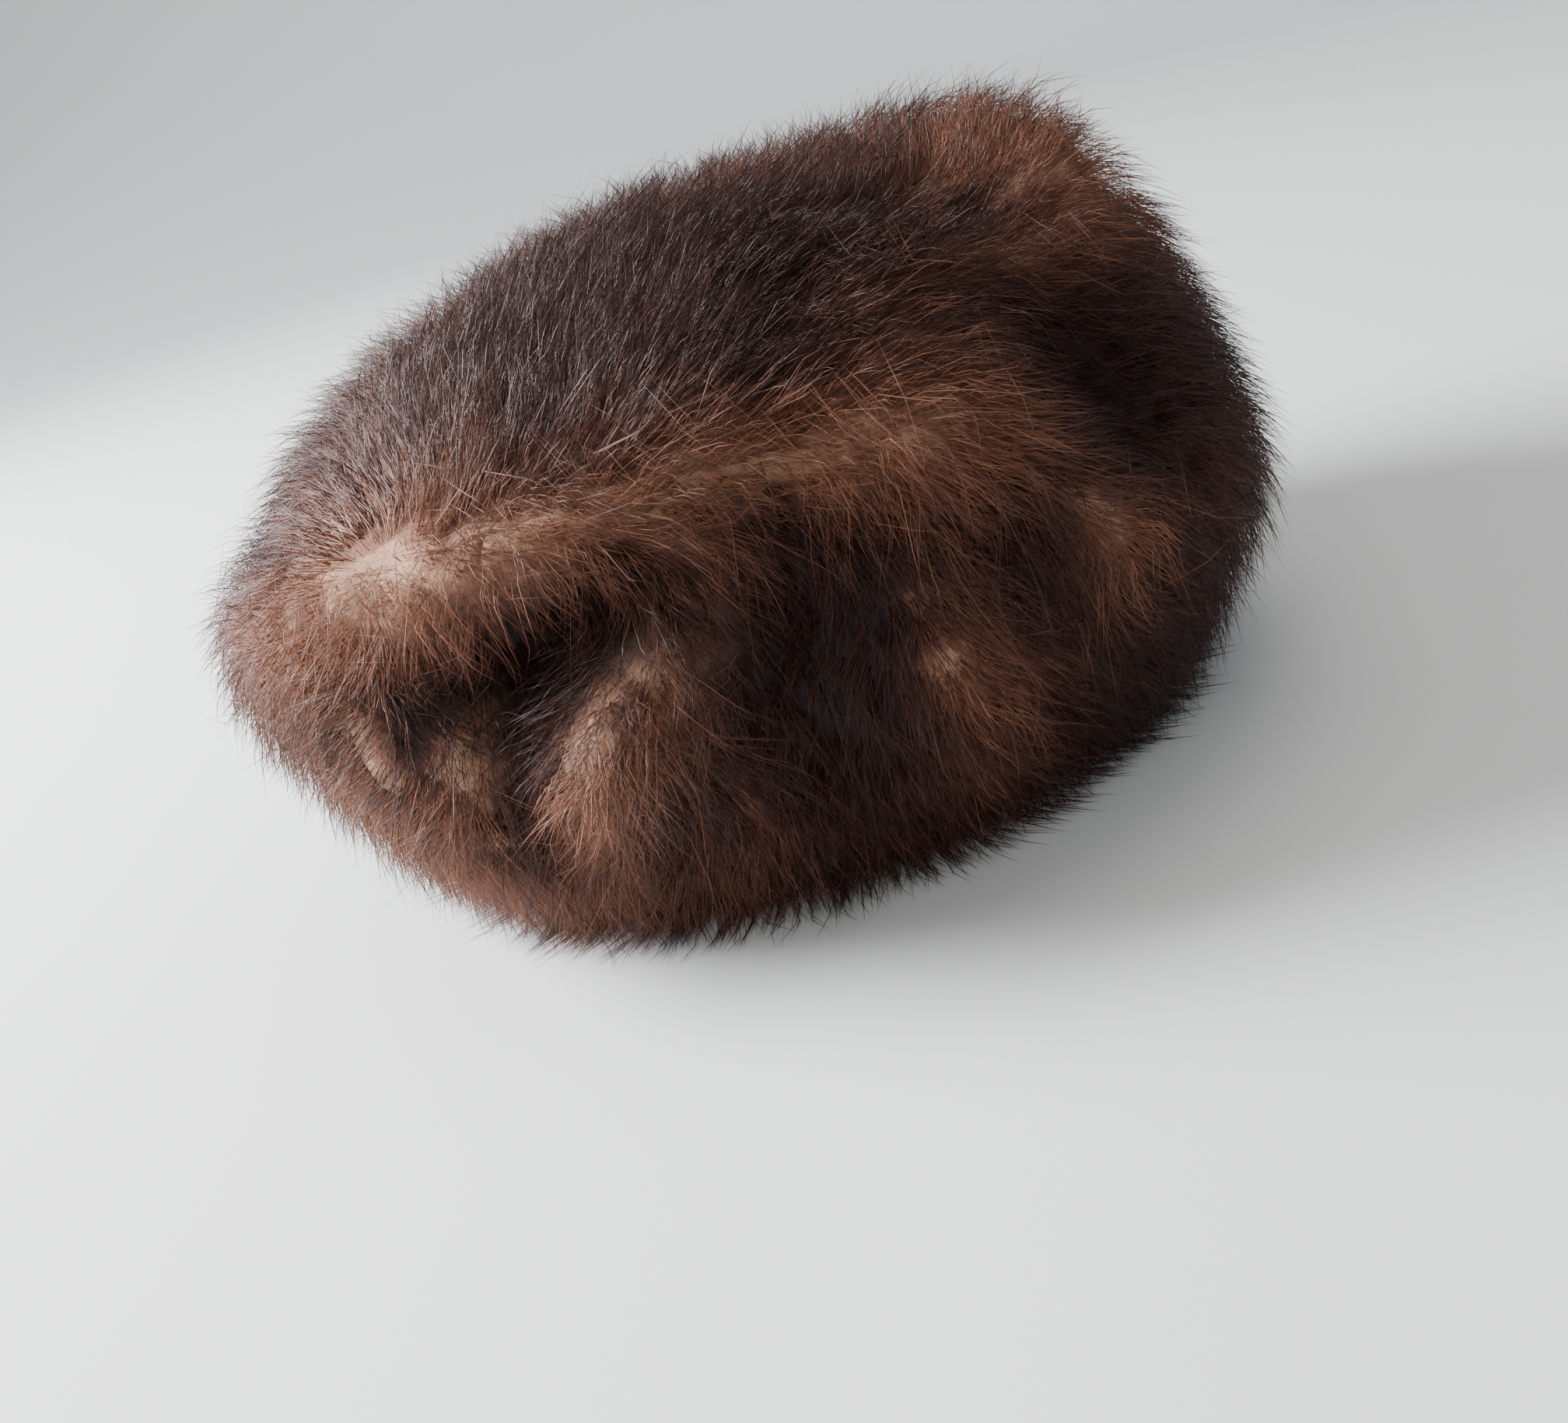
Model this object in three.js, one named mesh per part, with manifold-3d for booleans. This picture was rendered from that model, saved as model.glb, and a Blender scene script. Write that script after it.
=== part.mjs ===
// Mink fur hat: a soft round crown of fur pelts, slouched to the back, without a brim.
// Millimetres, +Z up, +X the wearer's front, +Y the wearer's left.
// The origin is on the plane that the rim rests on, under the middle of the hat.

import * as THREE from 'three';
import { mergeVertices } from 'three/addons/utils/BufferGeometryUtils.js';
import Module from 'manifold-3d';

const manifold = await Module();
manifold.setup();

// Driving dimensions
const HEAD_LENGTH = 196;
const HEAD_WIDTH = 165;
const CROWN_HEIGHT = 164;
const LEATHER = 2;
const FUR_DEPTH = 13;
const GAP = 0.3;
const COAT_GAP = 0.5;
const HEM_CLEARANCE = 1.2;

// Middle of the hat's outer box, seen from the middle of the head opening
const BOX_MIDDLE = { x: -10, y: 1.4 };

// Share of the edge radius at which the middle of the top is given
const MID_SHARE = 0.55;

// Stations between which the outward direction turns level and the folds fade towards the rim
const LEVEL_FROM = 1.55;
const LEVEL_TO = 1.95;
const FADE_FROM = 1.7;
const FADE_TO = 1.97;

// Round the middle of the top, outward is straight up
const POLE_STATION = 0.02;
// Small step of azimuth or station at which directions are measured
const STEP = 0.01;
// Length down the profile near the edge seam for each whole station
const SEAM_STATION_LENGTH = 150;

// The outer form of the fur, a row for each section. The profile of a section runs from the middle
// of the top (station 0) over the mid point (0.5), the edge seam (1), the belly (1.33) and the
// waist (1.67) to the rim (2).
const SECTIONS = [
  { azimuth: 0, midZ: 160, edgeR: 110, edgeZ: 158, bellyR: 134, bellyZ: 96, waistR: 128, waistZ: 38 },
  { azimuth: 30, midZ: 161, edgeR: 118, edgeZ: 156, bellyR: 138, bellyZ: 96, waistR: 124, waistZ: 38 },
  { azimuth: 60, midZ: 160, edgeR: 124, edgeZ: 148, bellyR: 140, bellyZ: 90, waistR: 120, waistZ: 36 },
  { azimuth: 90, midZ: 158, edgeR: 128, edgeZ: 138, bellyR: 142, bellyZ: 84, waistR: 120, waistZ: 36 },
  { azimuth: 120, midZ: 154, edgeR: 132, edgeZ: 126, bellyR: 145, bellyZ: 80, waistR: 122, waistZ: 34 },
  { azimuth: 150, midZ: 151, edgeR: 136, edgeZ: 119, bellyR: 152, bellyZ: 84, waistR: 132, waistZ: 38 },
  { azimuth: 180, midZ: 149, edgeR: 140, edgeZ: 114, bellyR: 155, bellyZ: 84, waistR: 138, waistZ: 40 },
  { azimuth: 210, midZ: 148, edgeR: 134, edgeZ: 119, bellyR: 150, bellyZ: 78, waistR: 132, waistZ: 32 },
  { azimuth: 240, midZ: 150, edgeR: 124, edgeZ: 131, bellyR: 142, bellyZ: 76, waistR: 122, waistZ: 30 },
  { azimuth: 270, midZ: 152, edgeR: 124, edgeZ: 123, bellyR: 136, bellyZ: 74, waistR: 116, waistZ: 28 },
  { azimuth: 300, midZ: 155, edgeR: 120, edgeZ: 132, bellyR: 142, bellyZ: 80, waistR: 124, waistZ: 34 },
  { azimuth: 330, midZ: 158, edgeR: 110, edgeZ: 154, bellyR: 142, bellyZ: 78, waistR: 134, waistZ: 36 },
];

// Dents (depth below 0) and rolls (above 0) of the soft crown: where the middle lies, how far the
// long axis turns from straight down the profile towards the next azimuth, and half sizes.
const FOLDS = [
  { azimuth: 223, station: 1.20, turn: -60, length: 30, width: 13, depth: -19 },
  { azimuth: 212, station: 1.21, turn: 70, length: 28, width: 10, depth: -11 },
  { azimuth: 218, station: 1.45, turn: -12, length: 30, width: 10, depth: -14 },
  { azimuth: 247, station: 1.30, turn: -20, length: 44, width: 24, depth: -21 },
  { azimuth: 290, station: 1.12, turn: -10, length: 32, width: 20, depth: -17 },
  { azimuth: 311, station: 0.52, turn: 0, length: 42, width: 14, depth: -11 },
  { azimuth: 283, station: 1.27, turn: 35, length: 24, width: 14, depth: 9 },
  { azimuth: 220, station: 1.05, turn: 90, length: 44, width: 15, depth: 6 },
  { azimuth: 263, station: 1.05, turn: 80, length: 38, width: 16, depth: 7 },
  { azimuth: 192, station: 1.08, turn: 90, length: 32, width: 18, depth: 4 },
  { azimuth: 170, station: 1.0, turn: 82, length: 34, width: 15, depth: -11 },
  { azimuth: 206, station: 1.42, turn: 0, length: 34, width: 18, depth: 8 },
  { azimuth: 231, station: 1.34, turn: 123, length: 40, width: 13, depth: 11 },
  { azimuth: 261, station: 1.44, turn: 15, length: 32, width: 18, depth: 6 },
  { azimuth: 325, station: 1.30, turn: 10, length: 36, width: 16, depth: -7 },
  { azimuth: 10, station: 1.36, turn: -15, length: 34, width: 15, depth: -6 },
  { azimuth: 62, station: 1.28, turn: 12, length: 38, width: 17, depth: -8 },
  { azimuth: 104, station: 1.34, turn: -20, length: 36, width: 16, depth: -7 },
  { azimuth: 150, station: 1.30, turn: 15, length: 34, width: 15, depth: -8 },
  { azimuth: 130, station: 1.36, turn: 5, length: 34, width: 16, depth: 5 },
];

// The way the fur is combed: at each place, the direction in which the hair runs.
const COMBS = [
  { azimuth: 191, station: 0.28, x: 1.0, y: 0.1, z: 0.2 },
  { azimuth: 192, station: 0.46, x: 0.9, y: 0.3, z: 0.3 },
  { azimuth: 240, station: 0.48, x: 0.9, y: 0.4, z: 0.2 },
  { azimuth: 194, station: 0.79, x: 0.5, y: 0.7, z: 0.4 },
  { azimuth: 213, station: 0.94, x: 0.8, y: 0.4, z: 0.5 },
  { azimuth: 236, station: 0.95, x: 0.9, y: 0.2, z: 0.4 },
  { azimuth: 200, station: 1.07, x: -0.4, y: -0.4, z: -0.8 },
  { azimuth: 215, station: 1.05, x: -0.2, y: -0.7, z: -0.7 },
  { azimuth: 230, station: 1.06, x: 0.2, y: -0.7, z: -0.7 },
  { azimuth: 184, station: 1.06, x: -0.3, y: 0.6, z: -0.7 },
  { azimuth: 210, station: 1.20, x: -0.2, y: -0.1, z: -1.0 },
  { azimuth: 206, station: 1.34, x: -0.2, y: 0.7, z: -0.7 },
  { azimuth: 221, station: 1.36, x: -0.1, y: 0.5, z: -0.9 },
  { azimuth: 231, station: 1.28, x: 0.1, y: 0.0, z: -1.0 },
  { azimuth: 244, station: 0.99, x: 0.8, y: -0.5, z: -0.3 },
  { azimuth: 256, station: 1.00, x: 0.8, y: -0.4, z: -0.4 },
  { azimuth: 268, station: 1.04, x: 0.6, y: -0.3, z: -0.7 },
  { azimuth: 259, station: 1.12, x: -0.6, y: 0.0, z: -0.8 },
  { azimuth: 247, station: 1.22, x: -0.2, y: 0.0, z: -1.0 },
  { azimuth: 259, station: 1.38, x: 0.6, y: 0.2, z: -0.8 },
  { azimuth: 282, station: 1.26, x: -0.3, y: 0.0, z: -0.9 },
  { azimuth: 292, station: 1.15, x: 0.8, y: 0.1, z: -0.5 },
  { azimuth: 281, station: 1.48, x: 0.6, y: 0.5, z: -0.7 },
  { azimuth: 281, station: 0.76, x: 0.4, y: -0.8, z: -0.5 },
  { azimuth: 300, station: 0.80, x: 0.6, y: -0.7, z: -0.4 },
  { azimuth: 278, station: 0.52, x: -0.1, y: -0.9, z: -0.4 },
  { azimuth: 309, station: 0.46, x: 0.4, y: -0.9, z: -0.2 },
  { azimuth: 336, station: 0.60, x: 0.6, y: 0.8, z: 0.1 },
  { azimuth: 352, station: 0.86, x: 0.9, y: 0.4, z: 0.0 },
  { azimuth: 60, station: 0.60, x: 0.5, y: 0.9, z: -0.1 },
  { azimuth: 100, station: 0.60, x: 0.1, y: 1.0, z: -0.1 },
  { azimuth: 140, station: 0.72, x: -0.3, y: 0.9, z: -0.2 },
  { azimuth: 172, station: 0.92, x: -0.5, y: 0.7, z: -0.3 },
  { azimuth: 335, station: 1.22, x: 0.4, y: -0.1, z: -0.9 },
  { azimuth: 10, station: 1.22, x: 0.2, y: 0.2, z: -1.0 },
  { azimuth: 60, station: 1.25, x: 0.1, y: 0.2, z: -1.0 },
  { azimuth: 110, station: 1.25, x: -0.2, y: 0.2, z: -1.0 },
  { azimuth: 155, station: 1.25, x: -0.3, y: 0.3, z: -0.9 },
  { azimuth: 200, station: 1.70, x: 0.2, y: 0.2, z: -1.0 },
  { azimuth: 242, station: 1.62, x: 0.2, y: 0.4, z: -0.9 },
  { azimuth: 320, station: 1.66, x: 0.2, y: 0.4, z: -0.9 },
  { azimuth: 20, station: 1.66, x: -0.1, y: 0.1, z: -1.0 },
  { azimuth: 90, station: 1.66, x: 0.1, y: -0.2, z: -1.0 },
  { azimuth: 145, station: 1.66, x: 0.3, y: -0.1, z: -1.0 },
];
const COMB_REACH = 30;
// Weight that a comb keeps far away, where no other comb is near
const COMB_FAR = 0.01;

// The pelts, each between two azimuths
const TOP_PELTS = [
  { fur: 'top_fur_back', skin: 'top_skin_back', from: 60, to: 250, colour: 0x4c3a36 },
  { fur: 'top_fur_front', skin: 'top_skin_front', from: 250, to: 420, colour: 0x5b4235 },
];
const SIDE_PELTS = [
  { fur: 'side_fur_back_right', skin: 'side_skin_back_right', from: 180, to: 220, colour: 0x7a5540 },
  { fur: 'side_fur_right_back', skin: 'side_skin_right_back', from: 220, to: 250, colour: 0x6b4a38 },
  { fur: 'side_fur_right', skin: 'side_skin_right', from: 250, to: 290, colour: 0x4f3629 },
  { fur: 'side_fur_front_right', skin: 'side_skin_front_right', from: 290, to: 340, colour: 0x432d23 },
  { fur: 'side_fur_front', skin: 'side_skin_front', from: 340, to: 400, colour: 0x543829 },
  { fur: 'side_fur_left', skin: 'side_skin_left', from: 40, to: 110, colour: 0x5f4132 },
  { fur: 'side_fur_back_left', skin: 'side_skin_back_left', from: 110, to: 180, colour: 0x6b4a38 },
];

// Rows and columns of the faceted surfaces
const AZIMUTH_STEPS = 36;
const TOP_ROWS = [0.16, 0.32, 0.48, 0.64, 0.8, 0.9];
const SIDE_ROWS = [1.1, 1.2, 1.3, 1.4, 1.5, 1.6, 1.72, 1.85];
const HEM_STATION = 1.986;

// Reach of the seam's cut above and below the outer form, and height of its apex over the crown
const SEAM_REACH = 22;
const APEX_HEIGHT = 500;
// Reach of the wedges that locks are cut to, and the straight lines that their outer edge is drawn in
const WEDGE_REACH = 400;
const WEDGE_PARTS = 4;

// Locks of fur: rows of them with how many go round, and the size of one
const LOCK_ROWS = [
  { station: 0.17, count: 5 },
  { station: 0.36, count: 8 },
  { station: 0.57, count: 11 },
  { station: 0.79, count: 14 },
  { station: 1.07, count: 19 },
  { station: 1.24, count: 20 },
  { station: 1.42, count: 20 },
  { station: 1.60, count: 19 },
  { station: 1.78, count: 16 },
];
const LOCK = {
  length: 46, width: 27, crestLift: 5, tipLift: 3.5, root: -2, edge: -0.6, under: -4, crest: 0.5,
};
const LOCK_STEPS = 6;
// Locks end this far inside their pelt's edges
const LOCK_INSET = 2;
const LOCK_SPREAD = 0.3;
const STATION_SPREAD = 0.03;

// Middle of the space that the crown is seen from when a point is brought back onto it
const CORE_Z = 60;
const HALVINGS = 24;

// Colours and finishes
const LEATHER_COLOUR = 0xb59a7a;
const LEATHER_ROUGHNESS = 0.9;
const FUR_ROUGHNESS = 0.85;

// Points closer than this are one corner
const WELD = 1e-4;
// Factors that spread whole numbers over 0 to 1
const SPREAD = { index: 12.9898, salt: 78.233, scale: 43758.5453 };

const radians = (degrees) => degrees * Math.PI / 180;

/** A smooth curve through four even points, at share f between the second and the third. */
function smooth(p0, p1, p2, p3, f) {
  const cubic = 3 * (p1 - p2) + p3 - p0;
  const square = 2 * p0 - 5 * p1 + 4 * p2 - p3;
  return p1 + 0.5 * f * (p2 - p0 + f * (square + f * cubic));
}

/** One column of SECTIONS at any azimuth, smoothly round the hat. */
function column(name, azimuth) {
  const count = SECTIONS.length;
  const turns = azimuth / (2 * Math.PI);
  const place = (turns - Math.floor(turns)) * count;
  const row = Math.floor(place) % count;
  const value = (step) => SECTIONS[(row + step + count) % count][name];
  return smooth(value(-1), value(0), value(1), value(2), place - Math.floor(place));
}

/** Radius of the rim's outer ellipse at an azimuth. */
function rimRadius(azimuth) {
  const a = HEAD_LENGTH / 2 + LEATHER + FUR_DEPTH;
  const b = HEAD_WIDTH / 2 + LEATHER + FUR_DEPTH;
  return a * b / Math.hypot(b * Math.cos(azimuth), a * Math.sin(azimuth));
}

/** Radius and height of the smooth outer form, without folds. */
function profile(azimuth, station) {
  const across = azimuth + Math.PI;
  const knots = [
    [-0.5, -MID_SHARE * column('edgeR', across), column('midZ', across)],
    [0, 0, CROWN_HEIGHT],
    [0.5, MID_SHARE * column('edgeR', azimuth), column('midZ', azimuth)],
    [1, column('edgeR', azimuth), column('edgeZ', azimuth)],
    [4 / 3, column('bellyR', azimuth), column('bellyZ', azimuth)],
    [5 / 3, column('waistR', azimuth), column('waistZ', azimuth)],
    [2, rimRadius(azimuth), 0],
  ];
  const last = knots[6];
  knots.push([7 / 3, 2 * last[1] - knots[5][1], -knots[5][2]]);
  let k = 1;
  while (k < 5 && station >= knots[k + 1][0]) {
    k += 1;
  }
  const f = (station - knots[k][0]) / (knots[k + 1][0] - knots[k][0]);
  const value = (step, axis) => knots[k + step][axis];
  const at = (axis) => smooth(value(-1, axis), value(0, axis), value(1, axis), value(2, axis), f);
  return { r: at(1), z: at(2) };
}

/** Point of the smooth outer form. */
function basePoint(azimuth, station) {
  const { r, z } = profile(azimuth, station);
  return new THREE.Vector3(r * Math.cos(azimuth), r * Math.sin(azimuth), z);
}

/** Outward direction of the smooth form, turned level towards the rim so that the rim is flat. */
function outward(azimuth, station) {
  if (station < POLE_STATION) {
    return new THREE.Vector3(0, 0, 1);
  }
  const down = basePoint(azimuth, station + STEP).sub(basePoint(azimuth, station - STEP));
  const round = basePoint(azimuth + STEP, station).sub(basePoint(azimuth - STEP, station));
  const normal = down.cross(round).normalize();
  const level = new THREE.Vector3(Math.cos(azimuth), Math.sin(azimuth), 0);
  return normal.lerp(level, THREE.MathUtils.smoothstep(station, LEVEL_FROM, LEVEL_TO)).normalize();
}

/** Folds with their middles and axes on the smooth form. */
const placedFolds = FOLDS.map((fold) => {
  const azimuth = radians(fold.azimuth);
  const turn = radians(fold.turn);
  const middle = basePoint(azimuth, fold.station);
  const normal = outward(azimuth, fold.station);
  const down = basePoint(azimuth, fold.station + STEP).sub(middle);
  down.addScaledVector(normal, -down.dot(normal)).normalize();
  const side = normal.clone().cross(down);
  const along = down.clone().multiplyScalar(Math.cos(turn)).addScaledVector(side, Math.sin(turn));
  return { ...fold, middle, normal, along, across: normal.clone().cross(along) };
});

/** How far the folds lift or sink the crown at a point of the smooth form. */
function foldHeight(point) {
  let height = 0;
  for (const fold of placedFolds) {
    const offset = point.clone().sub(fold.middle);
    const u = offset.dot(fold.along) / fold.length;
    const v = offset.dot(fold.across) / fold.width;
    const w = offset.dot(fold.normal) / (2 * fold.length);
    height += fold.depth * Math.exp(-(u * u + v * v + w * w));
  }
  return height;
}

/** Share of the folds left near the rim, which stays a plain ellipse. */
const foldShare = (station) => 1 - THREE.MathUtils.smoothstep(station, FADE_FROM, FADE_TO);

/** Point at a height above (or below 0, under) the outer form of the fur, folds and all. */
function surfacePoint(azimuth, station, height) {
  const point = basePoint(azimuth, station);
  const offset = foldHeight(point) * foldShare(station) + height;
  return point.addScaledVector(outward(azimuth, station), offset);
}

/** Azimuth and station of the place on the form that a point lies above or below. */
function placeOf(point) {
  const azimuth = Math.atan2(point.y, point.x);
  const polar = Math.atan2(Math.hypot(point.x, point.y), point.z - CORE_Z);
  let low = 0;
  let high = 2;
  for (let i = 0; i < HALVINGS; i += 1) {
    const station = (low + high) / 2;
    const { r, z } = profile(azimuth, station);
    if (Math.atan2(r, z - CORE_Z) < polar) {
      low = station;
    } else {
      high = station;
    }
  }
  return { azimuth, station: (low + high) / 2 };
}

const placedCombs = COMBS.map((comb) => ({
  middle: basePoint(radians(comb.azimuth), comb.station),
  way: new THREE.Vector3(comb.x, comb.y, comb.z).normalize(),
}));

/** Direction in which the hair runs at a place, along the form. */
function combAt(azimuth, station) {
  const point = basePoint(azimuth, station);
  const way = new THREE.Vector3();
  for (const comb of placedCombs) {
    const near = point.distanceTo(comb.middle) / COMB_REACH;
    way.addScaledVector(comb.way, Math.exp(-near * near) + COMB_FAR / (1 + near ** 4));
  }
  const normal = outward(azimuth, station);
  return way.addScaledVector(normal, -way.dot(normal)).normalize();
}

/** Closed body of a geometry that holds positions only. */
function bodyOf(geometry) {
  const merged = mergeVertices(geometry, WELD);
  const vertProperties = Float32Array.from(merged.getAttribute('position').array);
  const triVerts = Uint32Array.from(merged.getIndex().array);
  return new manifold.Manifold(new manifold.Mesh({ numProp: 3, vertProperties, triVerts }));
}

/** Closed body from points and triangles, with its faces turned out. */
function solidFrom(points, triangles) {
  const positions = points.flatMap((point) => point.toArray());
  const geometry = new THREE.BufferGeometry();
  geometry.setAttribute('position', new THREE.Float32BufferAttribute(positions, 3));
  geometry.setIndex(triangles.flat());
  return bodyOf(geometry);
}

/** Geometry of a closed body. */
function geometryOf(solid) {
  const mesh = solid.getMesh();
  const geometry = new THREE.BufferGeometry();
  geometry.setAttribute('position', new THREE.Float32BufferAttribute(mesh.vertProperties, 3));
  geometry.setIndex(Array.from(mesh.triVerts));
  return geometry;
}

/** Where the two drawn-in edges of a pelt would meet, near the middle of the top. */
function apexOf(pelt, inset) {
  const middle = radians((pelt.from + pelt.to) / 2);
  const half = radians((pelt.to - pelt.from) / 2);
  const reach = inset / Math.sin(half);
  return new THREE.Vector3(reach * Math.cos(middle), reach * Math.sin(middle), 0);
}

/**
 * Closed wall over one pelt through rows of stations, from one height to a lower one. Each column
 * stays in the plane of its azimuth, and both side edges are drawn in by half a gap. With a pole,
 * the rows start at the middle of the top.
 */
function peltSolid(pelt, rows, outer, inner, pole) {
  const last = Math.round((pelt.to - pelt.from) * AZIMUTH_STEPS / 360);
  const points = [];
  const triangles = [];
  const line = (station, height) => {
    const first = points.length;
    for (let i = 0; i <= last; i += 1) {
      const azimuth = radians(pelt.from + i * 360 / AZIMUTH_STEPS);
      const point = surfacePoint(azimuth, station, height);
      const across = new THREE.Vector3(-Math.sin(azimuth), Math.cos(azimuth), 0);
      const inset = GAP / 2 * (Number(i === 0) - Number(i === last));
      points.push(point.addScaledVector(across, inset - point.dot(across)));
    }
    return first;
  };
  const quad = (a, b, c, d) => triangles.push([a, b, c], [a, c, d]);
  const outside = rows.map((station) => line(station, outer));
  const inside = rows.map((station) => line(station, inner));
  const top = [outside[0], inside[0]];
  const hem = [outside.at(-1), inside.at(-1)];
  for (let k = 1; k < rows.length; k += 1) {
    const [over, under] = [[outside[k - 1], outside[k]], [inside[k - 1], inside[k]]];
    for (let i = 0; i < last; i += 1) {
      quad(over[0] + i, over[1] + i, over[1] + i + 1, over[0] + i + 1);
      const [a, b, c, d] = [under[0] + i, under[1] + i, under[1] + i + 1, under[0] + i + 1];
      triangles.push([a, c, b], [a, d, c]);
    }
    quad(over[1], over[0], under[0], under[1]);
    quad(over[0] + last, over[1] + last, under[1] + last, under[0] + last);
  }
  for (let i = 0; i < last; i += 1) {
    quad(hem[0] + i, hem[1] + i, hem[1] + i + 1, hem[0] + i + 1);
  }
  if (pole) {
    const [high, low] = [points.length, points.length + 1];
    points.push(surfacePoint(0, 0, outer).add(apexOf(pelt, GAP / 2)));
    points.push(surfacePoint(0, 0, inner).add(apexOf(pelt, GAP / 2)));
    for (let i = 0; i < last; i += 1) {
      triangles.push([high, top[0] + i, top[0] + i + 1], [low, top[1] + i + 1, top[1] + i]);
    }
    quad(top[0], high, low, top[1]);
    quad(high, top[0] + last, top[1] + last, low);
  } else {
    for (let i = 0; i < last; i += 1) {
      quad(top[0] + i, top[0] + i + 1, top[1] + i + 1, top[1] + i);
    }
  }
  return solidFrom(points, triangles);
}

/** All that lies on the top's side of the seam, with the seam's cut running along the normals. */
function aboveSeam(shift) {
  const low = [];
  const high = [];
  for (let i = 0; i < AZIMUTH_STEPS; i += 1) {
    const azimuth = 2 * Math.PI * i / AZIMUTH_STEPS;
    const cut = (height) => {
      const down = basePoint(azimuth, 1 + STEP).sub(basePoint(azimuth, 1 - STEP)).normalize();
      return surfacePoint(azimuth, 1, height).addScaledVector(down, shift);
    };
    low.push(cut(-SEAM_REACH));
    high.push(cut(SEAM_REACH));
  }
  const core = new THREE.Vector3(0, 0, CORE_Z);
  const apex = new THREE.Vector3(0, 0, APEX_HEIGHT);
  const points = [...low, ...high, core, apex];
  const [coreIndex, apexIndex] = [2 * AZIMUTH_STEPS, 2 * AZIMUTH_STEPS + 1];
  const triangles = [];
  for (let i = 0; i < AZIMUTH_STEPS; i += 1) {
    const j = (i + 1) % AZIMUTH_STEPS;
    const [a, b, c, d] = [i, j, AZIMUTH_STEPS + i, AZIMUTH_STEPS + j];
    triangles.push([coreIndex, b, a], [a, b, d], [a, d, c], [apexIndex, c, d]);
  }
  return solidFrom(points, triangles);
}

/** Room for a pelt's locks: a wedge a little inside its side edges, above the hem. */
function lockRoom(pelt) {
  const start = apexOf(pelt, LOCK_INSET);
  const outline = [new THREE.Vector2(start.x, start.y)];
  for (let k = 0; k <= WEDGE_PARTS; k += 1) {
    const azimuth = radians(pelt.from + (pelt.to - pelt.from) * k / WEDGE_PARTS);
    const arm = new THREE.Vector2(Math.cos(azimuth), Math.sin(azimuth));
    outline.push(arm.multiplyScalar(WEDGE_REACH).add(start));
  }
  const extrusion = { depth: WEDGE_REACH, bevelEnabled: false };
  const geometry = new THREE.ExtrudeGeometry(new THREE.Shape(outline), extrusion);
  geometry.translate(0, 0, HEM_CLEARANCE);
  geometry.deleteAttribute('normal');
  geometry.deleteAttribute('uv');
  return bodyOf(geometry);
}

/** Even spread of shares from 0 to 1 that looks irregular. */
const scatter = (index, salt) => {
  const value = Math.sin(index * SPREAD.index + salt * SPREAD.salt) * SPREAD.scale;
  return value - Math.floor(value);
};

/** One lock: a leaf with a raised crest that leaves the form towards its tip. */
function lockSolid(azimuth, station, size) {
  const walk = [{ azimuth, station }];
  for (let k = 1; k <= LOCK_STEPS; k += 1) {
    const here = walk[k - 1];
    const point = basePoint(here.azimuth, here.station);
    const way = combAt(here.azimuth, here.station);
    walk.push(placeOf(point.addScaledVector(way, size * LOCK.length / LOCK_STEPS)));
  }
  const crest = walk[Math.round(LOCK_STEPS * LOCK.crest)];
  const tip = walk[LOCK_STEPS];
  const way = combAt(crest.azimuth, crest.station);
  const side = outward(crest.azimuth, crest.station).cross(way).multiplyScalar(size * LOCK.width / 2);
  const edge = surfacePoint(crest.azimuth, crest.station, LOCK.edge);
  const points = [
    surfacePoint(azimuth, station, LOCK.root),
    edge.clone().add(side),
    edge.clone().sub(side),
    surfacePoint(crest.azimuth, crest.station, size * LOCK.crestLift),
    surfacePoint(crest.azimuth, crest.station, LOCK.under),
    surfacePoint(tip.azimuth, tip.station, size * LOCK.tipLift),
  ];
  const triangles = [
    [0, 3, 1], [0, 2, 3], [0, 4, 2], [0, 1, 4],
    [5, 1, 3], [5, 3, 2], [5, 2, 4], [5, 4, 1],
  ];
  return solidFrom(points, triangles);
}

/** Locks that grow on a pelt, in the rows between two stations. */
function locksOn(pelt, low, high) {
  const locks = [];
  LOCK_ROWS.forEach((row, k) => {
    for (let i = 0; i < row.count; i += 1) {
      const index = 100 * k + i;
      const turn = i + 0.5 * (k % 2) + LOCK_SPREAD * (scatter(index, 1) - 0.5);
      const azimuth = 360 * turn / row.count;
      const station = row.station + STATION_SPREAD * (scatter(index, 2) - 0.5);
      const size = 1 + LOCK_SPREAD * (scatter(index, 3) - 0.5);
      const past = (azimuth - pelt.from + 720) % 360;
      if (station > low && station < high && past < pelt.to - pelt.from) {
        locks.push(lockSolid(radians(azimuth), station, size));
      }
    }
  });
  return locks;
}

/** A matt material without metal. */
function matt(color, roughness) {
  return new THREE.MeshStandardMaterial({ color, roughness, metalness: 0 });
}

const hat = new THREE.Group();
hat.name = 'mink_hat';
hat.position.set(-BOX_MIDDLE.x, -BOX_MIDDLE.y, 0);

/** Adds one named piece to the hat. */
function addPiece(name, solid, material) {
  const mesh = new THREE.Mesh(geometryOf(solid), material);
  mesh.name = name;
  hat.add(mesh);
}

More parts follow.
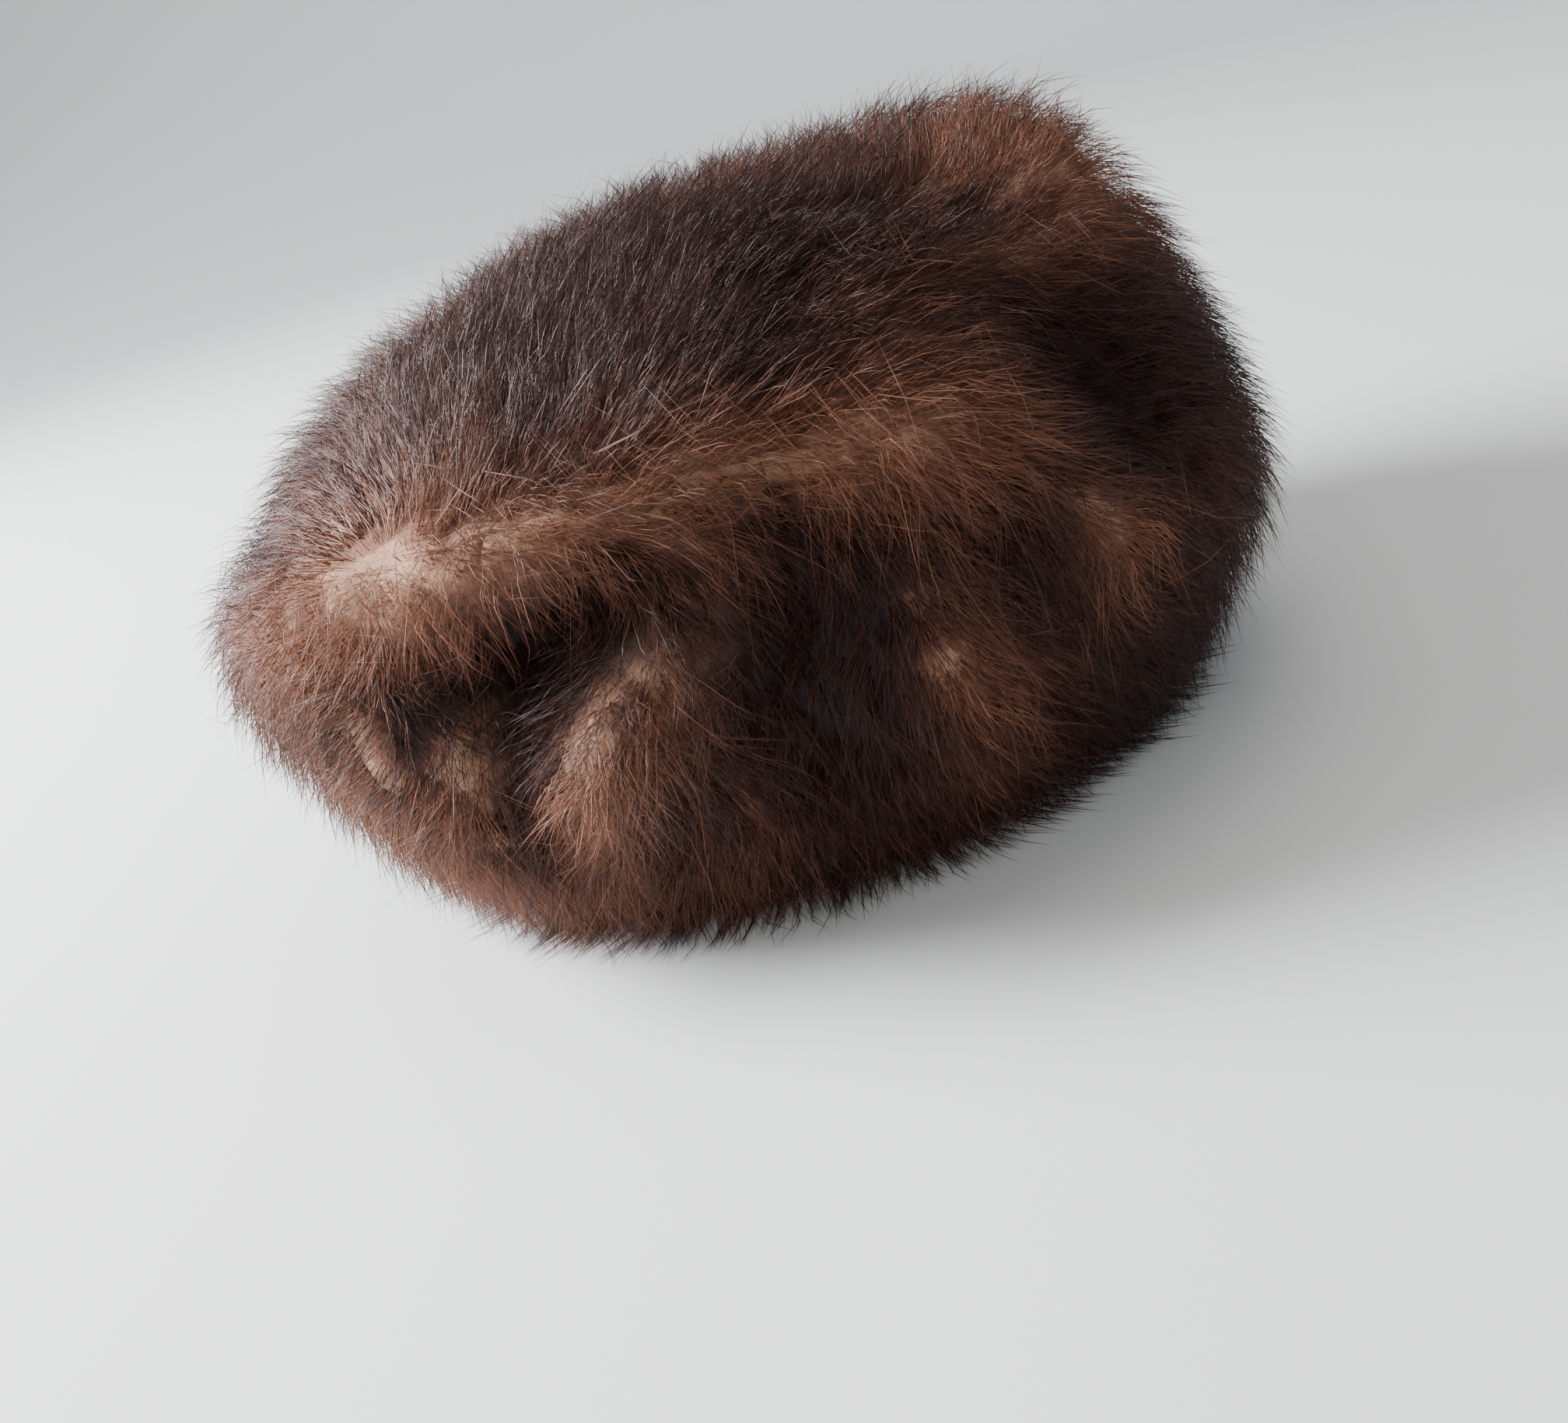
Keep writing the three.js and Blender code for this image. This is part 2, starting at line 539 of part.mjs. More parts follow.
// The leather walls, one for each pelt
const seamHalf = GAP / 2 / SEAM_STATION_LENGTH;
const leatherTop = -FUR_DEPTH;
const leatherUnder = -FUR_DEPTH - LEATHER;
const topRows = [...TOP_ROWS, 1 - seamHalf];
const sideRows = [1 + seamHalf, ...SIDE_ROWS, HEM_STATION];
for (const pelt of TOP_PELTS) {
  const skin = peltSolid(pelt, topRows, leatherTop, leatherUnder, true);
  addPiece(pelt.skin, skin, matt(LEATHER_COLOUR, LEATHER_ROUGHNESS));
}
for (const pelt of SIDE_PELTS) {
  const skin = peltSolid(pelt, [...sideRows, 2], leatherTop, leatherUnder, false);
  addPiece(pelt.skin, skin, matt(LEATHER_COLOUR, LEATHER_ROUGHNESS));
}

// The fur: a backing on each pelt with its locks fused to it
const furUnder = leatherTop + COAT_GAP;
const { Manifold } = manifold;
const topSpace = aboveSeam(-LOCK_INSET);
const seamCut = aboveSeam(LOCK_INSET);
for (const pelt of TOP_PELTS) {
  const locks = Manifold.union(locksOn(pelt, 0, 1)).intersect(topSpace).intersect(lockRoom(pelt));
  const backing = peltSolid(pelt, topRows, 0, furUnder, true);
  addPiece(pelt.fur, backing.add(locks), matt(pelt.colour, FUR_ROUGHNESS));
}
for (const pelt of SIDE_PELTS) {
  const locks = Manifold.union(locksOn(pelt, 1, 2)).subtract(seamCut).intersect(lockRoom(pelt));
  const backing = peltSolid(pelt, sideRows, 0, furUnder, false);
  addPiece(pelt.fur, backing.add(locks), matt(pelt.colour, FUR_ROUGHNESS));
}

export default hat;
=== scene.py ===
"""Looks of a mink fur hat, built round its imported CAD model.

Each pelt gets three pieces: a smooth panel of leather with a darker line at its sewn side edges, a
closed pad of underfur on it, and a coat of fuzz, guard hair and strays that grows out of the pad in
combed tufts. Lengths are in millimetres in the hat's own frame until a mesh is made, and then in
metres.
"""
import logging
import math
from collections.abc import Sequence
from dataclasses import astuple, dataclass
from enum import Enum

import bpy
import numpy as np
from mathutils import Matrix, Vector


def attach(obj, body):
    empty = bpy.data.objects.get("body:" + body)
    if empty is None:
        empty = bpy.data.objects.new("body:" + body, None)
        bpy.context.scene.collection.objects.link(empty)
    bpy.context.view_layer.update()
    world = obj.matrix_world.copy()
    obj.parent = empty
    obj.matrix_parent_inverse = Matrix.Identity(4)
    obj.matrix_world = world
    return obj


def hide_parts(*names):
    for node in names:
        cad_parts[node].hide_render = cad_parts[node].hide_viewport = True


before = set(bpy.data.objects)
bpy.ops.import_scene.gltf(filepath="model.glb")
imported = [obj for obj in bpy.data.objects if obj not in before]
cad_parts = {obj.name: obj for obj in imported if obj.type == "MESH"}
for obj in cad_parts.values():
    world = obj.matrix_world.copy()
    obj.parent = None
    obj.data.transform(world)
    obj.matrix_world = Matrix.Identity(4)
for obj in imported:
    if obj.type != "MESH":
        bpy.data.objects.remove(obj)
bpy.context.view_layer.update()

LOG = logging.getLogger("mink_hat")
MM = 0.001

Array = np.ndarray
Stops = tuple[tuple[float, str], ...]
Socket = bpy.types.NodeSocket


@dataclass(frozen=True)
class Section:
    """One profile of the crown: radius and height of its edge seam, belly and waist."""

    azimuth: float
    mid_z: float
    edge_r: float
    edge_z: float
    belly_r: float
    belly_z: float
    waist_r: float
    waist_z: float


SECTIONS = (
    Section(0, 160, 110, 158, 134, 96, 128, 38),
    Section(30, 161, 118, 156, 138, 96, 124, 38),
    Section(60, 160, 124, 148, 140, 90, 120, 36),
    Section(90, 158, 128, 138, 142, 84, 120, 36),
    Section(120, 154, 132, 126, 145, 80, 122, 34),
    Section(150, 151, 136, 119, 152, 84, 132, 38),
    Section(180, 149, 140, 114, 155, 84, 138, 40),
    Section(210, 148, 134, 119, 150, 78, 132, 32),
    Section(240, 150, 124, 131, 142, 76, 122, 30),
    Section(270, 152, 124, 123, 136, 74, 116, 28),
    Section(300, 155, 120, 132, 142, 80, 124, 34),
    Section(330, 158, 110, 154, 142, 78, 134, 36),
)


@dataclass(frozen=True)
class Swell:
    """A soft oval mark on the crown: its middle, the turn of its long axis, half sizes and height.

    The turn is measured from straight down the profile towards the next azimuth.
    """

    azimuth: float
    station: float
    turn: float
    length: float
    width: float
    height: float


# Dents (below 0) and rolls (above 0), in millimetres
FOLDS = (
    Swell(223, 1.20, -60, 30, 13, -19),
    Swell(212, 1.21, 70, 28, 10, -11),
    Swell(218, 1.45, -12, 30, 10, -14),
    Swell(247, 1.30, -20, 44, 24, -21),
    Swell(290, 1.12, -10, 32, 20, -17),
    Swell(311, 0.52, 0, 42, 14, -11),
    Swell(283, 1.27, 35, 24, 14, 9),
    Swell(220, 1.05, 90, 44, 15, 6),
    Swell(263, 1.05, 80, 38, 16, 7),
    Swell(192, 1.08, 90, 32, 18, 4),
    Swell(170, 1.00, 82, 34, 15, -11),
    Swell(206, 1.42, 0, 34, 18, 8),
    Swell(231, 1.34, 123, 40, 13, 11),
    Swell(261, 1.44, 15, 32, 18, 6),
    Swell(325, 1.30, 10, 36, 16, -7),
    Swell(10, 1.36, -15, 34, 15, -6),
    Swell(62, 1.28, 12, 38, 17, -8),
    Swell(104, 1.34, -20, 36, 16, -7),
    Swell(150, 1.30, 15, 34, 15, -8),
    Swell(130, 1.36, 5, 34, 16, 5),
)

# Partings where the fur lies open down to its pale underfur, as shares of bareness
# Columns: azimuth, station, turn, length, width, height
PARTINGS = tuple(Swell(*row) for row in (
    (199, 1.04, 80, 22, 7, 0.85), (191, 1.13, 50, 22, 6, 0.4), (212, 1.03, 90, 26, 6, 0.75),
    (226, 1.01, 90, 26, 5, 0.7), (238, 1.02, 90, 22, 7, 0.9), (251, 1.00, 90, 22, 6, 0.75),
    (263, 1.00, 90, 20, 4, 0.4), (224, 1.43, 120, 20, 8, 0.8), (214, 1.38, 10, 26, 4, 0.6),
    (235, 1.28, 120, 18, 9, 0.5), (305, 0.86, 90, 16, 6, 0.5), (283, 1.26, 60, 18, 9, 0.3),
    (278, 0.55, 60, 12, 5, 0.3), (320, 0.84, 60, 18, 7, 0.45), (274, 1.49, 30, 14, 6, 0.35),
    (299, 1.39, 30, 14, 6, 0.3), (282, 0.98, 80, 20, 4, 0.3), (150, 1.02, 90, 36, 5, 0.5),
    (110, 1.01, 90, 40, 5, 0.45), (60, 1.00, 90, 40, 5, 0.4), (20, 1.00, 90, 30, 5, 0.35),
    (90, 1.36, 20, 20, 6, 0.35), (345, 1.28, -20, 20, 6, 0.3),
))

# Creases (below 0) and light streaks (above 0) of the coat, as changes of tone: the creases are painted
# shade, and the light streaks are partly paler hair and partly painted light on small ridges
# Columns: azimuth, station, turn, length, width, height
STREAKS = tuple(Swell(*row) for row in (
    (208, 1.24, 80, 24, 5, -0.7), (219, 1.37, -25, 34, 5, -0.8), (207, 1.38, 0, 16, 4, -0.5),
    (215, 1.50, -20, 20, 4, -0.5), (248, 1.34, -3, 46, 9, -0.6), (257, 1.28, -12, 26, 5, -0.4),
    (238, 1.24, -10, 24, 5, -0.35), (272, 1.30, 10, 28, 6, -0.4), (292, 1.16, 0, 26, 8, -0.4),
    (196, 1.28, 70, 22, 5, -0.4), (212, 1.41, -8, 17, 3, 0.7), (226, 1.38, 150, 16, 5, 0.4),
    (203, 1.45, 0, 20, 7, 0.3), (283, 1.27, 40, 14, 5, 0.5), (262, 1.38, 0, 24, 7, 0.3),
    (240, 1.10, 60, 18, 5, 0.3), (204, 1.36, 15, 22, 7, 0.25), (208, 1.40, 5, 22, 3.5, -0.55),
    (213, 1.52, -5, 18, 4, -0.5), (219, 1.48, -10, 18, 4, 0.7), (232, 1.40, -5, 26, 5, -0.7),
    (227, 1.56, -5, 16, 4, -0.5), (244, 1.30, 10, 24, 5, 0.4), (237, 1.58, 0, 18, 4, 0.4),
    (254, 1.44, -5, 24, 5, -0.5),
))


@dataclass(frozen=True)
class Comb:
    """The direction in which the hair runs at a place."""

    azimuth: float
    station: float
    x: float
    y: float
    z: float


# Columns: azimuth, station, x, y, z
COMBS = tuple(Comb(*row) for row in (
    (191, 0.28, 1.0, 0.1, 0.2), (192, 0.46, 0.9, 0.3, 0.3), (240, 0.48, 0.9, 0.4, 0.2),
    (194, 0.79, 0.5, 0.7, 0.4), (213, 0.94, 0.8, 0.4, 0.5), (236, 0.95, 0.9, 0.2, 0.4),
    (200, 1.07, -0.4, -0.4, -0.8), (215, 1.05, -0.2, -0.7, -0.7), (230, 1.06, 0.2, -0.7, -0.7),
    (184, 1.06, -0.3, 0.6, -0.7), (210, 1.20, -0.2, -0.1, -1.0), (206, 1.34, -0.2, 0.7, -0.7),
    (221, 1.36, -0.1, 0.5, -0.9), (231, 1.28, 0.1, 0.0, -1.0), (244, 0.99, 0.8, -0.5, -0.3),
    (256, 1.00, 0.8, -0.4, -0.4), (268, 1.04, 0.6, -0.3, -0.7), (259, 1.12, -0.6, 0.0, -0.8),
    (247, 1.22, -0.2, 0.0, -1.0), (259, 1.38, 0.6, 0.2, -0.8), (282, 1.26, -0.3, 0.0, -0.9),
    (292, 1.15, 0.8, 0.1, -0.5), (281, 1.48, 0.6, 0.5, -0.7), (281, 0.76, 0.4, -0.8, -0.5),
    (300, 0.80, 0.6, -0.7, -0.4), (278, 0.52, -0.1, -0.9, -0.4), (309, 0.46, 0.4, -0.9, -0.2),
    (336, 0.60, 0.6, 0.8, 0.1), (352, 0.86, 0.9, 0.4, 0.0), (60, 0.60, 0.5, 0.9, -0.1),
    (100, 0.60, 0.1, 1.0, -0.1), (140, 0.72, -0.3, 0.9, -0.2), (172, 0.92, -0.5, 0.7, -0.3),
    (335, 1.22, 0.4, -0.1, -0.9), (10, 1.22, 0.2, 0.2, -1.0), (60, 1.25, 0.1, 0.2, -1.0),
    (110, 1.25, -0.2, 0.2, -1.0), (155, 1.25, -0.3, 0.3, -0.9), (200, 1.70, 0.2, 0.2, -1.0),
    (242, 1.62, 0.2, 0.4, -0.9), (320, 1.66, 0.2, 0.4, -0.9), (20, 1.66, -0.1, 0.1, -1.0),
    (90, 1.66, 0.1, -0.2, -1.0), (145, 1.66, 0.3, -0.1, -1.0),
))


@dataclass(frozen=True)
class Shade:
    """Colour of the fur at a place: tone, from -1 dark to 1 pale, and warmth, from mauve to rufous.

    Both hold painted light and shade along with the fur's own colour, and the mauve end stands partly
    for painted sheen.
    """

    azimuth: float
    station: float
    tone: float
    warmth: float


# The fur's own colour, such as the dark top and paler flanks, with painted light and shade: paler where
# lobes face the light, darker on the side away from it and in valleys, and mauve on the top partly as
# painted sheen
# Columns: azimuth, station, tone, warmth
SHADES = tuple(Shade(*row) for row in (
    (215, 0.50, -0.5, -0.2), (232, 0.60, -0.6, -0.7), (242, 0.38, -0.5, -0.9),
    (246, 0.72, -0.6, -0.7), (195, 0.45, -0.5, 0.0), (195, 0.66, -0.3, 0.3), (181, 0.82, 0.0, 0.7),
    (202, 0.82, 0.0, 0.3), (222, 0.84, -0.5, -0.2), (233, 0.90, -0.2, 0.0), (205, 1.02, 0.75, 0.2),
    (226, 1.00, 0.75, 0.2), (240, 1.02, 0.95, 0.2), (253, 0.98, 0.75, 0.3), (268, 1.02, 0.65, 0.1),
    (193, 1.15, 0.5, 0.5), (183, 1.17, 0.4, 0.7), (205, 1.14, 0.5, 0.5), (216, 1.12, 0.0, 0.6),
    (233, 1.10, 0.0, 0.4), (243, 1.10, 0.0, 0.3), (208, 1.25, -0.6, 0.1), (226, 1.22, -1.0, -0.1),
    (201, 1.36, 0.8, 0.5), (213, 1.40, 0.8, 0.3), (218, 1.48, -0.2, 0.1), (225, 1.43, 0.9, 0.1),
    (233, 1.30, 0.55, 0.3), (239, 1.36, 0.3, 0.3), (233, 1.52, -0.1, 0.2), (210, 1.66, 0.9, 0.3),
    (228, 1.70, 0.15, 0.5), (249, 1.24, -0.7, -0.1), (252, 1.42, -0.7, -0.1), (242, 1.52, -0.4, 0.1),
    (250, 1.75, -0.1, 0.5), (263, 1.38, 0.1, 0.4), (266, 1.55, 0.0, 0.4), (267, 1.12, -0.1, 0.1),
    (275, 1.20, -0.7, 0.0), (284, 1.27, 0.45, 0.1), (291, 1.12, -0.9, 0.0), (291, 1.42, -0.5, 0.2),
    (305, 1.35, 0.0, 0.7), (282, 1.58, -0.5, 0.3), (265, 0.35, -0.5, -0.8), (285, 0.45, -0.3, -0.1),
    (272, 0.72, 0.1, 0.2), (284, 0.84, -0.2, 0.1), (303, 0.84, 0.6, 0.3), (302, 0.60, 0.1, 0.2),
    (320, 0.84, 0.5, 0.5), (340, 0.66, 0.2, 0.7), (320, 0.30, -0.6, 0.2), (300, 1.00, -0.4, 0.2),
    (10, 0.55, -0.1, 0.5), (60, 0.70, -0.3, 0.2), (110, 0.65, -0.5, -0.2), (150, 0.75, -0.4, 0.2),
    (100, 1.02, 0.3, 0.2), (40, 1.02, 0.2, 0.3), (60, 1.25, -0.1, 0.4), (110, 1.25, -0.3, 0.3),
    (150, 1.20, 0.0, 0.5), (90, 1.55, -0.4, 0.2), (30, 1.50, -0.4, 0.3), (350, 1.25, -0.4, 0.3),
    (330, 1.30, -0.6, 0.2), (150, 1.60, -0.2, 0.4), (199, 1.50, 1.1, 0.2), (221, 1.60, 0.8, 0.3),
    (236, 1.64, 0.3, 0.4), (300, 1.18, -1.0, 0.0), (298, 1.02, -0.8, 0.0), (305, 1.50, -0.4, 0.4),
))


@dataclass(frozen=True)
class HatSizes:
    """Driving sizes of the form, the same as the CAD's.

    Between two stations each, the outward directions turn level and the folds fade. The reaches say
    how far a row of COMBS or SHADES rules, and far_weight how much it counts beyond that.
    """

    head_length: float = 196.0
    head_width: float = 165.0
    crown_height: float = 164.0
    leather: float = 2.0
    fur_depth: float = 13.0
    coat_gap: float = 0.5
    gap: float = 0.3
    most_inset: float = 0.02
    station_length: float = 150.0
    hem_clearance: float = 1.2
    mid_share: float = 0.55
    level_from: float = 1.55
    level_to: float = 1.95
    fade_from: float = 1.7
    fade_to: float = 1.97
    core_z: float = 60.0
    comb_reach: float = 30.0
    shade_reach: float = 15.0
    far_weight: float = 0.01
    offset: tuple[float, float, float] = (10.0, -1.4, 0.0)


SIZES = HatSizes()


class Side(Enum):
    """The two bands of pelts: those on top, inside the edge seam, and those round the side."""

    TOP = (0.0, 1.0)
    SIDE = (1.0, 1.986)


@dataclass(frozen=True)
class Pelt:
    """One pelt: its CAD node, its band and the azimuths that it lies between."""

    node: str
    side: Side
    start: float
    end: float


PELTS = (
    Pelt("top_fur_back", Side.TOP, 60, 250),
    Pelt("top_fur_front", Side.TOP, 250, 420),
    Pelt("side_fur_back_right", Side.SIDE, 180, 220),
    Pelt("side_fur_right_back", Side.SIDE, 220, 250),
    Pelt("side_fur_right", Side.SIDE, 250, 290),
    Pelt("side_fur_front_right", Side.SIDE, 290, 340),
    Pelt("side_fur_front", Side.SIDE, 340, 400),
    Pelt("side_fur_left", Side.SIDE, 40, 110),
    Pelt("side_fur_back_left", Side.SIDE, 110, 180),
)


@dataclass(frozen=True)
class Coat:
    """One kind of hair in a pelt's coat: how densely it is sown and the shape of its tufts."""

    tufts: float
    hairs: int
    length: float
    length_spread: float
    thickness: float
    root: float
    tip: float
    tip_spread: float
    reach: float
    gather: float
    splay: float
    sway: float
    curl: float
    rings: int
    tone: float


DOWN_COAT = Coat(
    tufts=18, hairs=4, length=11, length_spread=0.3, thickness=0.38, root=-8.5, tip=-1.0,
    tip_spread=1.4, reach=2.4, gather=0.9, splay=1.6, sway=0.36, curl=0.0, rings=0, tone=0.08,
)
GUARD_COAT = Coat(
    tufts=5.2, hairs=5, length=18, length_spread=0.3, thickness=0.25, root=-8, tip=7.2,
    tip_spread=1.9, reach=2.8, gather=0.55, splay=1.1, sway=0.32, curl=0.25, rings=1, tone=-0.42,
)
STRAY_COAT = Coat(
    tufts=4.0, hairs=1, length=21, length_spread=0.28, thickness=0.24, root=-8, tip=11.0,
    tip_spread=2.0, reach=3.0, gather=0.8, splay=2.2, sway=0.34, curl=0.25, rings=2, tone=-0.5,
)
COATS = (DOWN_COAT, GUARD_COAT, STRAY_COAT)


def table_of(rows: Sequence) -> Array:
    """The numbers of a table's rows, one row each."""
    return np.array([astuple(row) for row in rows], float)


def smooth(points: Sequence[Array], share: Array) -> Array:
    """Smooth curve through four even points.

    Formula: a Catmull-Rom cubic.

    Args:
        points: The four points or values.
        share: Place between the second, at 0, and the third, at 1.

    Returns:
        The curve's value there.
    """
    p0, p1, p2, p3 = points
    cubic = 3 * (p1 - p2) + p3 - p0
    square = 2 * p0 - 5 * p1 + 4 * p2 - p3
    return p1 + 0.5 * share * (p2 - p0 + share * (square + share * cubic))


def ease(value: Array, low: float, high: float) -> Array:
    """Share from 0 at low to 1 at high, with a smooth start and end."""
    share = np.clip((value - low) / (high - low), 0, 1)
    return share * share * (3 - 2 * share)


def unit(vectors: Array) -> Array:
    """The vectors at length 1."""
    return vectors / np.maximum(np.linalg.norm(vectors, axis=-1, keepdims=True), 1e-9)


def tangent_to(vectors: Array, normals: Array) -> Array:
    """The vectors without their part along the normals, at length 1."""
    along = np.sum(vectors * normals, axis=-1, keepdims=True)
    return unit(vectors - along * normals)


@dataclass(frozen=True)
class Ripple:
    """Even soft noise over space: its height, middle wavelength and seed."""

    WAVES = 14
    LENGTHS = (0.6, 1.6)
    SPREAD = 0.8

    height: float
    wavelength: float
    seed: int

    def at(self, points: Array) -> Array:
        """The noise at points, mostly within its height of 0.

        Formula: the sum of cosine waves in random directions over the root of their number.

        Args:
            points: Places in millimetres.

        Returns:
            One value for each point.
        """
        rng = np.random.default_rng(self.seed)
        ways = unit(rng.normal(size=(self.WAVES, 3)))
        lengths = self.wavelength * rng.uniform(*self.LENGTHS, self.WAVES)
        phases = rng.uniform(0, 2 * np.pi, self.WAVES)
        cosines = np.cos(points @ (2 * np.pi * ways / lengths[:, None]).T + phases)
        return self.height * (cosines.sum(axis=-1) / math.sqrt(self.WAVES) * self.SPREAD)


class HatForm:
    """The crown's outer form, with its folds, hair directions and colours, as smooth fields.

    A place is an azimuth in radians and a station: 0 in the middle of the top, 0.5 at mid top, 1 at
    the edge seam, 4/3 at the belly, 5/3 at the waist and 2 at the rim.
    """

    # The grid, and its inverse
    ROWS = 720
    COLUMNS = 401
    POLAR_STEPS = 900
    POLAR_MOST = 2.2
    STATIONS = np.array([0, 0.5, 1, 4 / 3, 5 / 3, 2.0])
    STEP = 0.01
    # Combed paths and sowing
    RIM_STATION = 1.99
    LEAST_DROP = 0.3
    GOLDEN = np.array([0.7548776662, 0.5698402910])
    SOW_JITTER = 0.25
    MM2_PER_CM2 = 100
    # Noise in the fields, and the shares of streaks, partings and folds in them
    FLUFF = Ripple(1.0, 17, 9)
    STREAK_FLUFF = 1.8
    RAGGED = Ripple(0.45, 8, 6)
    BARE_SHARE = 0.75
    MOST_BARE = 0.8
    SWIRLS = (Ripple(0.34, 34, 7), Ripple(0.26, 13, 8))
    MOTTLE = Ripple(0.18, 7, 4)
    WARMTH_DRIFT = Ripple(0.18, 26, 5)
    # Tone by fluff makes the coat paler where it stands higher; tone by lift is painted shade, darker
    # in each dent, and painted light, paler on each roll
    FLUFF_TONE = 0.12
    PAINTED_FOLD_SHADING = 0.055
    LIFT_RANGE = (-16, 6)
    BASE_TONE = -0.12

    def __init__(self, sizes: HatSizes) -> None:
        """Works out every field on the grid, each from those before it.

        Args:
            sizes: Driving sizes.
        """
        self.sizes = sizes
        self.table = table_of(SECTIONS)
        turns = np.arange(self.ROWS) * (2 * np.pi / self.ROWS)
        stations = np.linspace(0, 2, self.COLUMNS)
        azimuth, station = np.meshgrid(turns, stations, indexing="ij")
        self.base = self.base_point(azimuth, station)
        self.outward = self.outward_at(azimuth, station)
        self.lift = self.marks(FOLDS, self.base) * (1 - ease(station, sizes.fade_from, sizes.fade_to))
        self.point = self.base + self.lift[..., None] * self.outward
        self.normal = self.normals_of(self.point)
        self.streaks = self.marks(STREAKS, self.base)
        self.fluff = self.FLUFF.at(self.base) + self.STREAK_FLUFF * self.streaks
        self.comb = self.combed()
        self.bare = self.bareness()
        self.tone, self.warmth = self.shades()
        self.station_of = self.stations_by_polar(stations)
        self.area = self.cell_areas()

    def column(self, index: int, azimuth: Array) -> Array:
        """One column of SECTIONS at any azimuth.

        Args:
            index: Which column.
            azimuth: Where, in radians.

        Returns:
            The column's value at each azimuth.
        """
        values = self.table[:, index]
        place = (azimuth / (2 * np.pi)) % 1.0 * len(values)
        row = np.floor(place).astype(int)
        near = [values[(row + step) % len(values)] for step in (-1, 0, 1, 2)]
        return smooth(near, place - row)

    def base_point(self, azimuth: Array, station: Array) -> Array:
        """Points of the smooth outer form, without folds.

        Formula: a profile through the middle, mid top, edge seam, belly, waist and rim at each azimuth.

        Args:
            azimuth: Azimuths in radians.
            station: Stations down the profile.

        Returns:
            Points in millimetres.
        """
        azimuth, station = np.broadcast_arrays(np.asarray(azimuth, float), np.asarray(station, float))
        sizes = self.sizes
        half_a = sizes.head_length / 2 + sizes.leather + sizes.fur_depth
        half_b = sizes.head_width / 2 + sizes.leather + sizes.fur_depth
        rim = half_a * half_b / np.hypot(half_b * np.cos(azimuth), half_a * np.sin(azimuth))
        flat = np.zeros_like(azimuth)
        across = azimuth + np.pi
        mid_z, edge_r, edge_z, belly_r, belly_z, waist_r, waist_z = (
            self.column(index, azimuth) for index in range(1, 8)
        )
        radii = [
            -sizes.mid_share * self.column(2, across), flat, sizes.mid_share * edge_r,
            edge_r, belly_r, waist_r, rim, 2 * rim - waist_r,
        ]
        heights = [
            self.column(1, across), flat + sizes.crown_height, mid_z,
            edge_z, belly_z, waist_z, flat, -waist_z,
        ]
        knot = np.clip(np.searchsorted(self.STATIONS, station, side="right") - 1, 0, 4)
        share = (station - self.STATIONS[knot]) / (self.STATIONS[knot + 1] - self.STATIONS[knot])

        def along(rows: list[Array]) -> Array:
            """The profile's smooth curve through its knots.

            Args:
                rows: Radius or height of each knot.

            Returns:
                The curve's value at each place.
            """
            knots = np.stack(rows)
            near = [np.take_along_axis(knots, (knot + step)[None], 0)[0] for step in range(4)]
            return smooth(near, share)

        radius = along(radii)
        return np.stack([radius * np.cos(azimuth), radius * np.sin(azimuth), along(heights)], -1)

    def outward_at(self, azimuth: Array, station: Array) -> Array:
        """Outward directions of the smooth form, turned level towards the rim.

        Formula: the cross product of the form's two slopes, blended with the level direction.

        Args:
            azimuth: Azimuths in radians.
            station: Stations.

        Returns:
            Directions at length 1.
        """
        step = self.STEP
        inner = np.maximum(station, step * 1.1)
        down = self.base_point(azimuth, inner + step) - self.base_point(azimuth, inner - step)
        round_ = self.base_point(azimuth + step, inner) - self.base_point(azimuth - step, inner)
        normal = unit(np.cross(down, round_))
        normal = np.where((station < 2 * step)[..., None], (0.0, 0.0, 1.0), normal)
        level = np.stack([np.cos(azimuth), np.sin(azimuth), 0 * azimuth], -1)
        share = ease(station, self.sizes.level_from, self.sizes.level_to)[..., None]
        return unit(normal * (1 - share) + level * share)

    def marks(self, rows: Sequence[Swell], points: Array) -> Array:
        """Sum of soft oval marks at points of the smooth form.

        Formula: each mark's height times a Gaussian of the offsets along, across and off the form.

        Args:
            rows: The marks.
            points: Points of the smooth form.

        Returns:
            One value for each point.
        """
        total = np.zeros(points.shape[:-1])
        for row in rows:
            azimuth, turn = np.radians(row.azimuth), np.radians(row.turn)
            station = np.asarray(row.station)
            middle = self.base_point(azimuth, station)
            normal = self.outward_at(azimuth, station)
            down = tangent_to(self.base_point(azimuth, station + self.STEP) - middle, normal)
            along = down * np.cos(turn) + np.cross(normal, down) * np.sin(turn)
            offset = points - middle
            u = offset @ along / row.length
            v = offset @ np.cross(normal, along) / row.width
            w = offset @ normal / (2 * row.length)
            total += row.height * np.exp(-(u * u + v * v + w * w))
        return total

    def normals_of(self, points: Array) -> Array:
        """Normals of a gridded surface.

        Args:
            points: Its points, rows by azimuth.

        Returns:
            Directions at length 1.
        """
        round_ = np.roll(points, -1, 0) - np.roll(points, 1, 0)
        normal = unit(np.cross(np.gradient(points, axis=1), round_))
        normal[:, 0] = unit(normal[:, 1].mean(axis=0))
        return normal

